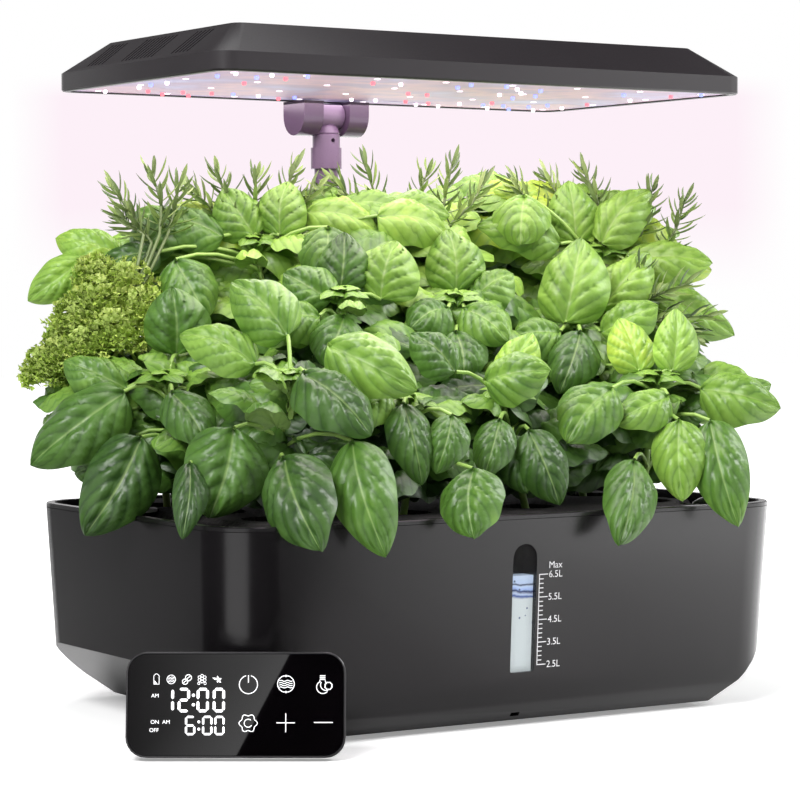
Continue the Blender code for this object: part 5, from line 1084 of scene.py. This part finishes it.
def leaflet(growth, spot, out, size, rng):
    """One crinkled, toothed leaflet, as a wavy fan."""
    side = unit(np.cross(out, UP + EYE_WAY * rng.random()))
    lift = np.cross(side, out)
    angle = np.linspace(-2.2, 2.2, 9)[None, :]
    reach = np.linspace(0.0, 1.0, 3)[:, None]
    phase = rng.random() * math.tau
    teeth = 1 + 0.22 * np.cos(angle * 6.0) * reach
    ahead = size * reach * teeth * np.cos(angle * 0.62)
    across = size * reach * teeth * np.sin(angle * 0.62) * 1.15
    crinkle = size * 0.42 * reach ** 1.4 * np.sin(angle * 3.7 + phase)
    cup = size * 0.35 * reach ** 2 * np.cos(angle)
    grid = (spot + ahead[..., None] * out + across[..., None] * side
            + (crinkle + cup)[..., None] * lift)
    growth.blade(grid, 0.42 + 0.5 * rng.random())


def grow_sprig(growth, root, base, tip, needle, count, rng):
    """A rosemary sprig: a thin woody stem with curved needles all round it."""
    middle = (base + tip) / 2 + np.array((rng.uniform(-1, 1), rng.uniform(-1, 1), 0.0)) * 0.004
    path = [root, root + (base - root) * 0.5, base, middle, tip]
    growth.tube(path, (0.0013, 0.0012, 0.0011, 0.0009, 0.0005), 0.15, sides=5)
    for k in range(count):
        share = (k + 0.5) / count
        spot = (base + (middle - base) * share * 2 if share < 0.5
                else middle + (tip - middle) * (share * 2 - 1))
        stem_way = unit(tip - base)
        angle = k * GOLDEN_TURN + rng.random() * 0.4
        flat = unit(np.cross(stem_way, EYE_WAY))
        deep = np.cross(flat, stem_way)
        out = flat * math.cos(angle) + deep * math.sin(angle)
        lean = 1.0 - 0.65 * share ** 2 + 0.25 * rng.random()
        way = unit(out * lean + stem_way * (0.42 + 0.4 * share))
        reach = needle * (0.75 + 0.5 * rng.random()) * (1.0 - 0.25 * share ** 4)
        needle_blade(growth, spot, way, stem_way, reach, rng)


def needle_blade(growth, spot, way, stem_way, reach, rng):
    """One needle: narrow, curved and rolled under at its edges."""
    side = unit(np.cross(way, stem_way + EYE_WAY * 0.01))
    face = np.cross(side, way)
    u = np.linspace(0, 1, 6)[:, None]
    v = np.array((-1.0, 0.0, 1.0))[None, :]
    half = 0.00125 * (0.35 + 2.0 * u) ** 0.5 * np.clip(1.02 - u ** 4, 0.05, 1) * (1.0 + 0 * v)
    bend = reach * 0.16 * u ** 2
    height = bend - np.abs(v) * half * 0.55
    grid = (spot + (u * reach + 0 * v)[..., None] * way + (v * half)[..., None] * side
            + height[..., None] * face)
    growth.blade(grid, 0.15 + 0.75 * rng.random())


# ---------------------------------------------------------------- operators

class GARDEN_OT_stage(bpy.types.Operator):
    """Set up the pale floor, the soft studio light and the photograph's camera."""

    bl_idname = "garden.stage"
    bl_label = "Stage"

    def execute(self, context):
        scene = context.scene
        scene.world = bpy.data.worlds.new("studio")
        scene.world.use_nodes = True
        self.light_backdrop(scene.world.node_tree, scene.garden_colours.glow)
        self.lay_floor(scene.garden_colours.floor)
        self.add_flags()
        for name, spot, aim, size, power, tint in STUDIO_LAMPS:
            self.add_lamp(name, spot, aim, size, power, tint)
        camera = bpy.data.objects.new("camera", bpy.data.cameras.new("camera"))
        scene.collection.objects.link(camera)
        camera.location = CAMERA_SPOT
        camera.rotation_euler = (CAMERA_PITCH, 0.0, CAMERA_TURN)
        camera.data.lens = CAMERA_LENS
        camera.data.sensor_width = SENSOR
        camera.data.clip_end = 50.0
        scene.camera = camera
        scene.view_settings.view_transform = "Standard"
        return {"FINISHED"}

    def light_backdrop(self, tree, glow):
        """A backdrop that shows white but lights softly, pink where the garden's lamp reaches it."""
        add = partial(add_node, tree)
        rays = add("LightPath").outputs
        shown = add("Math", {0: rays["Is Camera Ray"], 1: rays["Is Glossy Ray"]}, operation="MAXIMUM")
        clear = add("Math", {0: shown, 1: rays["Is Transmission Ray"]}, operation="MAXIMUM")
        level = add("MapRange", {"Value": clear, "To Min": 0.22, "To Max": 1.0})
        way = add("TexCoord").outputs["Generated"]
        side = add("VectorMath", {0: way, 1: (math.cos(CAMERA_TURN), math.sin(CAMERA_TURN), 0.0)},
                   operation="DOT_PRODUCT")
        wide = add("Math", {0: side}, operation="ABSOLUTE")
        under = add("MapRange", {"Value": wide, "From Min": 0.118, "From Max": 0.136, "To Min": 1.0,
                                 "To Max": 0.0})
        height = add("SeparateXYZ", {"Vector": way}).outputs["Z"]
        below = add("MapRange", {"Value": height, "From Min": 0.068, "From Max": 0.076, "To Min": 1.0,
                                 "To Max": 0.0})
        above = add("MapRange", {"Value": height, "From Min": 0.0, "From Max": 0.030})
        band = add("Math", {0: above, 1: below}, operation="MULTIPLY")
        lit = add("Math", {0: under, 1: band}, operation="MULTIPLY")
        tint = add("Mix", {"Factor": lit, 6: WHITE, 7: glow}, data_type="RGBA")
        feed(tree, tree.nodes["Background"], {"Color": tint, "Strength": level})

    def lay_floor(self, colour):
        """A wide plain floor that shows white but keeps the shadow."""
        finish, add, surface, places = new_finish("paper_floor")
        rays = add("LightPath").outputs
        reach = add("VectorMath", {0: places["Object"]}, operation="LENGTH")
        lift = add("MapRange", {"Value": reach, "From Min": 0.30, "From Max": 0.90, "To Min": 0.30,
                                "To Max": 1.0})
        shown = add("Math", {0: rays["Is Camera Ray"], 1: lift}, operation="MULTIPLY")
        # Reflections alone see the floor glow, more to the right: a painted reflection that lightens the
        # tank's front toward its right end
        split = add("SeparateXYZ", {"Vector": places["Object"]})
        side = add("MapRange", {"Value": split, "From Min": 0.0, "From Max": 0.6, "To Min": 0.0,
                                "To Max": 1.6})
        gloss = add("Math", {0: rays["Is Glossy Ray"], 1: side}, operation="MULTIPLY")
        total = add("Math", {0: shown, 1: gloss}, operation="ADD")
        surface({"Base Color": colour, "Roughness": 0.9, "Specular IOR Level": 0.0,
                 "Emission Strength": total, "Emission Color": WHITE})
        new_object("floor", [(x * FLOOR_REACH, y * FLOOR_REACH, COUNTER) for x, y in CORNERS],
                            [(0, 1, 2, 3)], finish)

    def add_flags(self):
        """Cards for gloss alone: dark bands beside the near corner, on the hood and on the glass."""
        low = COUNTER + 0.0006
        corner = (-0.1605, -0.0925)
        for name, start, end, cover in (("flag_left", 80.0, 138.0, 1.0), ("shade_left", 138.0, 172.0, 0.72),
                                        ("flag_corner", -27.0, 34.0, 1.0)):
            rim = [(corner[0] - math.sin(math.radians(a)) * r, corner[1] - math.cos(math.radians(a)) * r, low)
                   for r, angles in ((0.045, np.linspace(start, end, 12)), (2.6, np.linspace(end, start, 12)))
                   for a in angles]
            self.add_card(name, rim, [0.0] * len(rim), cover)
        front = low - 0.0003
        even, inward = (0.0, 0.0, 0.0, 0.0), (0.0, 1.0, 1.0, 0.0)
        self.add_card("shade_front", [(-0.16, -0.13, front), (0.50, -0.13, front), (0.50, -2.0, front),
                                      (-0.16, -2.0, front)], inward, 0.52)
        self.add_card("flag_top", [(-2.5, -1.3, 2.4), (3.4, -1.3, 2.4), (3.4, 3.2, 2.4), (-2.5, 3.2, 2.4)])
        self.add_card("flag_back", [(-2.5, 3.2, 1.0), (3.4, 3.2, 1.0), (3.4, 3.2, 2.4), (-2.5, 3.2, 2.4)],
                      even, 0.72)
        self.add_card("flag_side", [(-2.00, 1.82, 0.19), (-1.05, 2.42, 0.19), (-1.05, 2.42, 0.90),
                                    (-2.00, 1.82, 0.90)], even, 0.85)
        # The panel's cards lie where its glass reflects to: past a slanted line dark, before it a pale fade
        glass = panel_matrix()
        way = glass.to_3x3() @ Vector((0.0, -1.0, 0.0))
        edge = []
        for across, up in ((39.0, 75.0), (-10.0, -19.0), (190.0, -19.0), (190.0, 75.0), (-80.0, -19.0),
                           (-80.0, 75.0)):
            spot = glass @ Vector((across * MM, 0.0, up * MM))
            ray = (spot - Vector(CAMERA_SPOT)).normalized()
            edge.append(tuple(spot + 1.1 * (ray - 2 * ray.dot(way) * way)))
        self.add_card("flag_panel", edge[:4])
        self.add_card("shade_panel", (edge[4], edge[1], edge[0], edge[5]), inward, 1.0, 1.5)

    def add_card(self, name, rim, fade=None, cover=1.0, glow=0.0):
        """A card that only gloss sees, black; corner shares fade it from its cover to clear, or to a glow."""
        finish, add, surface, places = new_finish(name)
        surface({"Base Color": (0.0, 0.0, 0.0, 1.0), "Specular IOR Level": 0.0})
        card = new_object(name, rim, [tuple(range(len(rim)))], finish)
        if fade:
            layer = card.data.uv_layers.new(name="fade")
            for corner, share in zip(layer.data, fade):
                corner.uv = (share, 0.5)
            split = add("SeparateXYZ", {"Vector": places["UV"]})
            level = add("MapRange", {"Value": split, "To Min": 0.0 if glow else cover, "To Max": glow})
            surface({"Emission Strength" if glow else "Alpha": level, "Emission Color": WHITE})
        card.visible_camera = False
        card.visible_diffuse = False
        card.visible_shadow = False
        card.visible_transmission = False

    def add_lamp(self, name, spot, aim, size, power, tint):
        """A soft square lamp that faces the garden."""
        data = bpy.data.lights.new(name, "AREA")
        data.size = size
        data.energy = power
        data.color = linear(tint)[:3]
        lamp = bpy.data.objects.new(name, data)
        bpy.context.scene.collection.objects.link(lamp)
        lamp.location = spot
        lamp.rotation_euler = (Vector(aim) - Vector(spot)).to_track_quat("-Z", "Y").to_euler()


class GARDEN_OT_mouldings(bpy.types.Operator):
    """Finish the tank, deck, baskets, feet, pump and other moulded parts."""

    bl_idname = "garden.mouldings"
    bl_label = "Mouldings"

    def execute(self, context):
        black = context.scene.garden_colours.tank
        baskets = [f"basket_{row}_{column}" for row in (1, 2, 3) for column in (1, 2, 3, 4)]
        for name, colour, grain, roughness, nodes in (
                ("moulded_black_abs", black, 0.0012, 0.24, ("tank",)),
                ("glossy_black_abs_deck", black, 0.0012, 0.24, ("deck", "fill_lid")),
                ("moulded_basket_pp", black, 0.001, 0.45, baskets),
                ("moulded_pump_abs", linear("#17181b"), 0.001, 0.42,
                 ("pump_housing", "pump_strainer", "power_inlet")),
                ("impeller_pom", linear("#dcdad2"), 0.001, 0.4, ("pump_impeller",)),
                ("soft_pvc_riser", linear("#9aa3a4"), 0.001, 0.3, ("riser_tube",))):
            dress(moulded_finish(name, colour, grain, roughness), *nodes)
        dress(moulded_finish("pressed_rubber", linear("#121112"), 0.0006, 0.8, 0.0001),
              "foot_1", "foot_2", "foot_3", "foot_4")
        dress(medium_finish("coconut_fibre"), "growing_medium")
        # White polypropylene, moulded and slightly waxy, with the lamp's pink in it
        dress(clouded_finish("white_pp_cap", 180.0, ((0.3, linear("#ded6e2")), (0.7, linear("#f0eaf2"))),
                             {"Roughness": 0.35, "IOR": 1.49}), "port_cap")
        # Stainless steel pins, turned: fine rings around them and a sharp highlight
        dress(bumped_finish("turned_stainless_steel", "TexNoise", 900.0, (0.2, 0.00001),
                            {"Base Color": linear("#c4c3c2"), "Metallic": 1.0, "Roughness": 0.28}),
              "lid_pin", "hinge_pin")
        return {"FINISHED"}


class GARDEN_OT_window(bpy.types.Operator):
    """Finish the water window and print the scale beside it."""

    bl_idname = "garden.window"
    bl_label = "Window and Scale"

    def execute(self, context):
        colours = context.scene.garden_colours
        dress(pane_finish("polished_acrylic"), "window_pane")
        dress(water_finish("gauge_water", colours.water), "gauge_water")
        # White pad-printed ink: matt, a little thin at its edges
        ink = clouded_finish("pad_printed_ink", 900.0,
                             ((0.25, dimmed(colours.ink, 0.82)), (0.5, colours.ink)), {"Roughness": 0.6})
        flat_piece("scale_print", scale_shapes(context.scene.garden_sizes.scale_line), front_wall, ink,
                   "garden")
        return {"FINISHED"}


class GARDEN_OT_mast(bpy.types.Operator):
    """Finish the telescopic mast and the tilt hinge."""

    bl_idname = "garden.mast"
    bl_label = "Mast and Hinge"

    def execute(self, context):
        colours = context.scene.garden_colours
        # Mast and hinge carry painted pink light of the lamp in their colours
        dress(moulded_finish("extruded_mast_abs", colours.mast, 0.0009, 0.30), "mast_lower_tube",
              "mast_middle_tube", "mast_upper_tube", "mast_head", "mast_lower_gland", "mast_middle_gland",
              "mast_socket")
        dress(moulded_finish("glossy_hinge_abs", colours.hinge, 0.0012, 0.22), "hinge_cheek_left",
              "hinge_cheek_right")
        return {"FINISHED"}


class GARDEN_OT_lamp(bpy.types.Operator):
    """Finish the hood and its board, and add the LEDs between those of the board."""

    bl_idname = "garden.lamp"
    bl_label = "Lamp"

    def execute(self, context):
        colours = context.scene.garden_colours
        dress(moulded_finish("satin_hood_abs", colours.hood, 0.0010, 0.42), "hood_shell")
        dress(board_finish("white_solder_mask", colours.board), "led_board")
        dress(moulded_finish("driver_case_pc", linear("#d9d7d2"), 0.001, 0.5), "led_driver")
        rng = random.Random(SEEDS["leds"])
        looks = {"white": lit_finish("white_led", linear("#ffeaf6"), 2.6),
                 "red": lit_finish("red_led", linear("#ff6f7c"), 1.6),
                 "blue": lit_finish("blue_led", linear("#8c98ff"), 1.6)}
        points = {name: [] for name in looks}
        faces = {name: [] for name in looks}
        for i in range(17):
            for j in range(9):
                if rng.random() < (0.82 if 0 < i < 16 and 1 < j < 7 else 0.30):
                    continue
                x = (i - 8) * LED_PITCH[0] + rng.uniform(-0.004, 0.004)
                y = HOOD_Y + (j - 4) * LED_PITCH[1] + rng.uniform(-0.004, 0.004)
                hinge = abs(x) < HINGE_ROOM[0] and y > HINGE_ROOM[1]
                slot = all(abs(at - middle) < half for at, (middle, half) in zip((x, y), BOARD_SLOT))
                if hinge or slot:
                    continue
                name = rng.choice(("white", "white", "red", "red", "blue"))
                first = len(points[name])
                points[name] += [(x + sx * LED_HALF * grow, y + sy * LED_HALF * grow, BOARD_LOW + z)
                                 for z, grow in LED_LEVELS for sx, sy in CORNERS]
                faces[name] += [tuple(first + k for k in face) for face in LED_FACES]
        for name, look in looks.items():
            add_piece(f"{name}_leds", points[name], faces[name], look, "lamp")
        return {"FINISHED"}


class GARDEN_OT_touch_panel(bpy.types.Operator):
    """Finish the touch panel and light its signs."""

    bl_idname = "garden.touch_panel"
    bl_label = "Touch Panel"

    def execute(self, context):
        colours = context.scene.garden_colours
        dress(moulded_finish("moulded_panel_abs", linear("#2a292b"), 0.0008, 0.3), "panel_frame",
              "panel_stand")
        # Tempered glass, printed black behind: a mirror-smooth black
        dress(clouded_finish("black_printed_glass", 40.0,
                             ((0.3, linear("#040304")), (0.7, linear("#070507"))),
                             {"Roughness": 0.015, "IOR": 1.52}), "panel_glass")
        dress(circuit_finish("green_solder_mask"), "panel_circuit")
        matrix = panel_matrix()
        back = matrix.inverted()
        front = min((back @ v.co).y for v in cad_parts["panel_glass"].data.vertices) - SIGN_LIFT

        def lay(corner):
            return matrix @ Vector((corner[0] * MM, front, corner[1] * MM))

        flat_piece("lit_signs", sign_shapes(), lay, lit_finish("white_sign_light", colours.ink, 1.0),
                   "garden")
        return {"FINISHED"}


class GARDEN_OT_basil(bpy.types.Operator):
    """Grow the ten basil plants."""

    bl_idname = "garden.basil"
    bl_label = "Basil"

    def execute(self, context):
        colours = context.scene.garden_colours
        stops = ((0.0, dimmed(colours.leaf_dark, 0.55)), (0.25, colours.leaf_dark),
                 (0.5, colours.leaf_mid), (0.78, colours.leaf_light), (1.0, colours.leaf_yellow))
        finish = leaf_finish("basil_leaf", stops, linear("#b4cf82"), 0.40)
        canopy = Canopy()
        for leaves in LEAF_SHARES:
            for leaf in leaves:
                grid = leaf_grid(place(*leaf[0:3]), place(*leaf[3:6]), SIGHT_STEP * leaf[6], BASIL)
                canopy.note(grid.reshape(-1, 3))
        for across, up, near, radius in FROND_SHARES:
            centre = place(across, up, near)
            for shift in np.linspace(-0.75, 0.75, 7):
                for lift in np.linspace(-0.75, 0.75, 7):
                    side = np.array((math.cos(EYE_TURN), -math.sin(EYE_TURN), 0.0))
                    canopy.note((centre + FROND_STEP * radius * (side * shift + UP * lift))[None, :])
        # Open-cell foam plugs, wet and dark: the cells leave no gloss
        foam = bumped_finish("root_foam", "TexVoronoi", 700.0, (0.8, 0.0006),
                             {"Base Color": linear("#2c2522"), "Roughness": 0.9})
        growths = {}
        for index, (kind, column, row, crown) in enumerate(PLANT_SHARES):
            foam_plug(column, row, foam)
            if kind == "basil":
                growths[index] = grow_basil(index, canopy, context.scene.garden_sizes.fill_pairs)
        fill_canopy(growths, canopy)
        for index, growth in growths.items():
            column, row = PLANT_SHARES[index][1:3]
            pod = f"{row + 1}_{column + 1}"
            growth.piece(f"basil_{pod}", finish, f"plant_{pod}_basil", "basil")
        return {"FINISHED"}


class GARDEN_OT_parsley(bpy.types.Operator):
    """Grow the curly parsley."""

    bl_idname = "garden.parsley"
    bl_label = "Parsley"

    def execute(self, context):
        colours = context.scene.garden_colours
        stops = ((0.0, dimmed(colours.parsley, 0.55)), (0.35, dimmed(colours.parsley, 0.9)),
                 (0.7, colours.parsley), (1.0, linear("#d3e27a")))
        finish = leaf_finish("curly_parsley", stops, linear("#c9d88c"), 0.45, veins=3.0)
        growth = Growth()
        column, row, crown_share = PLANT_SHARES[PARSLEY][1:]
        foot = pod_foot(column, row)
        crown = place(*crown_share)
        grow_stem(growth, foot, crown, 0.7)
        rng = random.Random(SEEDS["parsley"])
        sizes = context.scene.garden_sizes
        for across, up, near, radius in FROND_SHARES:
            centre = place(across, up, near)
            root = stem_point(foot, crown, centre[2] - 0.017)
            grow_frond(growth, root, centre, FROND_STEP * radius, sizes.leaflets, rng)
        growth.piece("parsley_3_1", finish, "plant_3_1_parsley", "parsley")
        return {"FINISHED"}


class GARDEN_OT_rosemary(bpy.types.Operator):
    """Grow the rosemary and the sprigs that stand among the other herbs."""

    bl_idname = "garden.rosemary"
    bl_label = "Rosemary"

    def execute(self, context):
        colours = context.scene.garden_colours
        stops = ((0.0, dimmed(colours.rosemary, 0.35)), (0.4, colours.rosemary),
                 (0.8, linear("#8aa64c")), (1.0, linear("#b7c78a")))
        finish = leaf_finish("rosemary_needle", stops, linear("#a9bb7c"), 0.42, veins=1.0)
        growth = Growth()
        tips = Growth()
        column, row, crown_share = PLANT_SHARES[ROSEMARY][1:]
        grow_stem(growth, pod_foot(column, row), place(*crown_share), 0.2)
        rng = random.Random(SEEDS["rosemary"])
        sizes = context.scene.garden_sizes
        for owner, sprig in SPRIG_SHARES:
            crown = place(*PLANT_SHARES[owner][3])
            grow_sprig(growth if owner == ROSEMARY else tips, crown, place(*sprig[:3]), place(*sprig[3:]),
                       sizes.needle, sizes.needles, rng)
        growth.piece("rosemary_3_3", finish, "plant_3_3_rosemary", "rosemary")
        tips.piece("rosemary_tips", finish, None, "rosemary")
        return {"FINISHED"}


class GARDEN_PT_looks(bpy.types.Panel):
    """The garden's pieces, sizes and colours in the sidebar."""

    bl_idname = "GARDEN_PT_looks"
    bl_label = "Countertop Garden"
    bl_space_type = "VIEW_3D"
    bl_region_type = "UI"
    bl_category = "Garden"

    def draw(self, context):
        layout = self.layout
        for operator in OPERATORS:
            layout.operator(operator.bl_idname)
        for group in (context.scene.garden_colours, context.scene.garden_sizes):
            column = layout.column()
            for name in group.__annotations__:
                column.prop(group, name)


OPERATORS = (GARDEN_OT_stage, GARDEN_OT_mouldings, GARDEN_OT_window, GARDEN_OT_mast, GARDEN_OT_lamp,
             GARDEN_OT_touch_panel, GARDEN_OT_basil, GARDEN_OT_parsley, GARDEN_OT_rosemary)
CLASSES = (GardenColours, GardenSizes) + OPERATORS + (GARDEN_PT_looks,)


def register():
    """Register the classes and their settings."""
    for item in CLASSES:
        bpy.utils.register_class(item)
    bpy.types.Scene.garden_colours = bpy.props.PointerProperty(type=GardenColours)
    bpy.types.Scene.garden_sizes = bpy.props.PointerProperty(type=GardenSizes)


def unregister():
    """Take the classes and their settings out again."""
    del bpy.types.Scene.garden_sizes
    del bpy.types.Scene.garden_colours
    for item in reversed(CLASSES):
        bpy.utils.unregister_class(item)


def main():
    """Make every piece in order."""
    register()
    for operator in OPERATORS:
        group, name = operator.bl_idname.split(".")
        getattr(getattr(bpy.ops, group), name)()


if __name__ == "__main__":
    main()
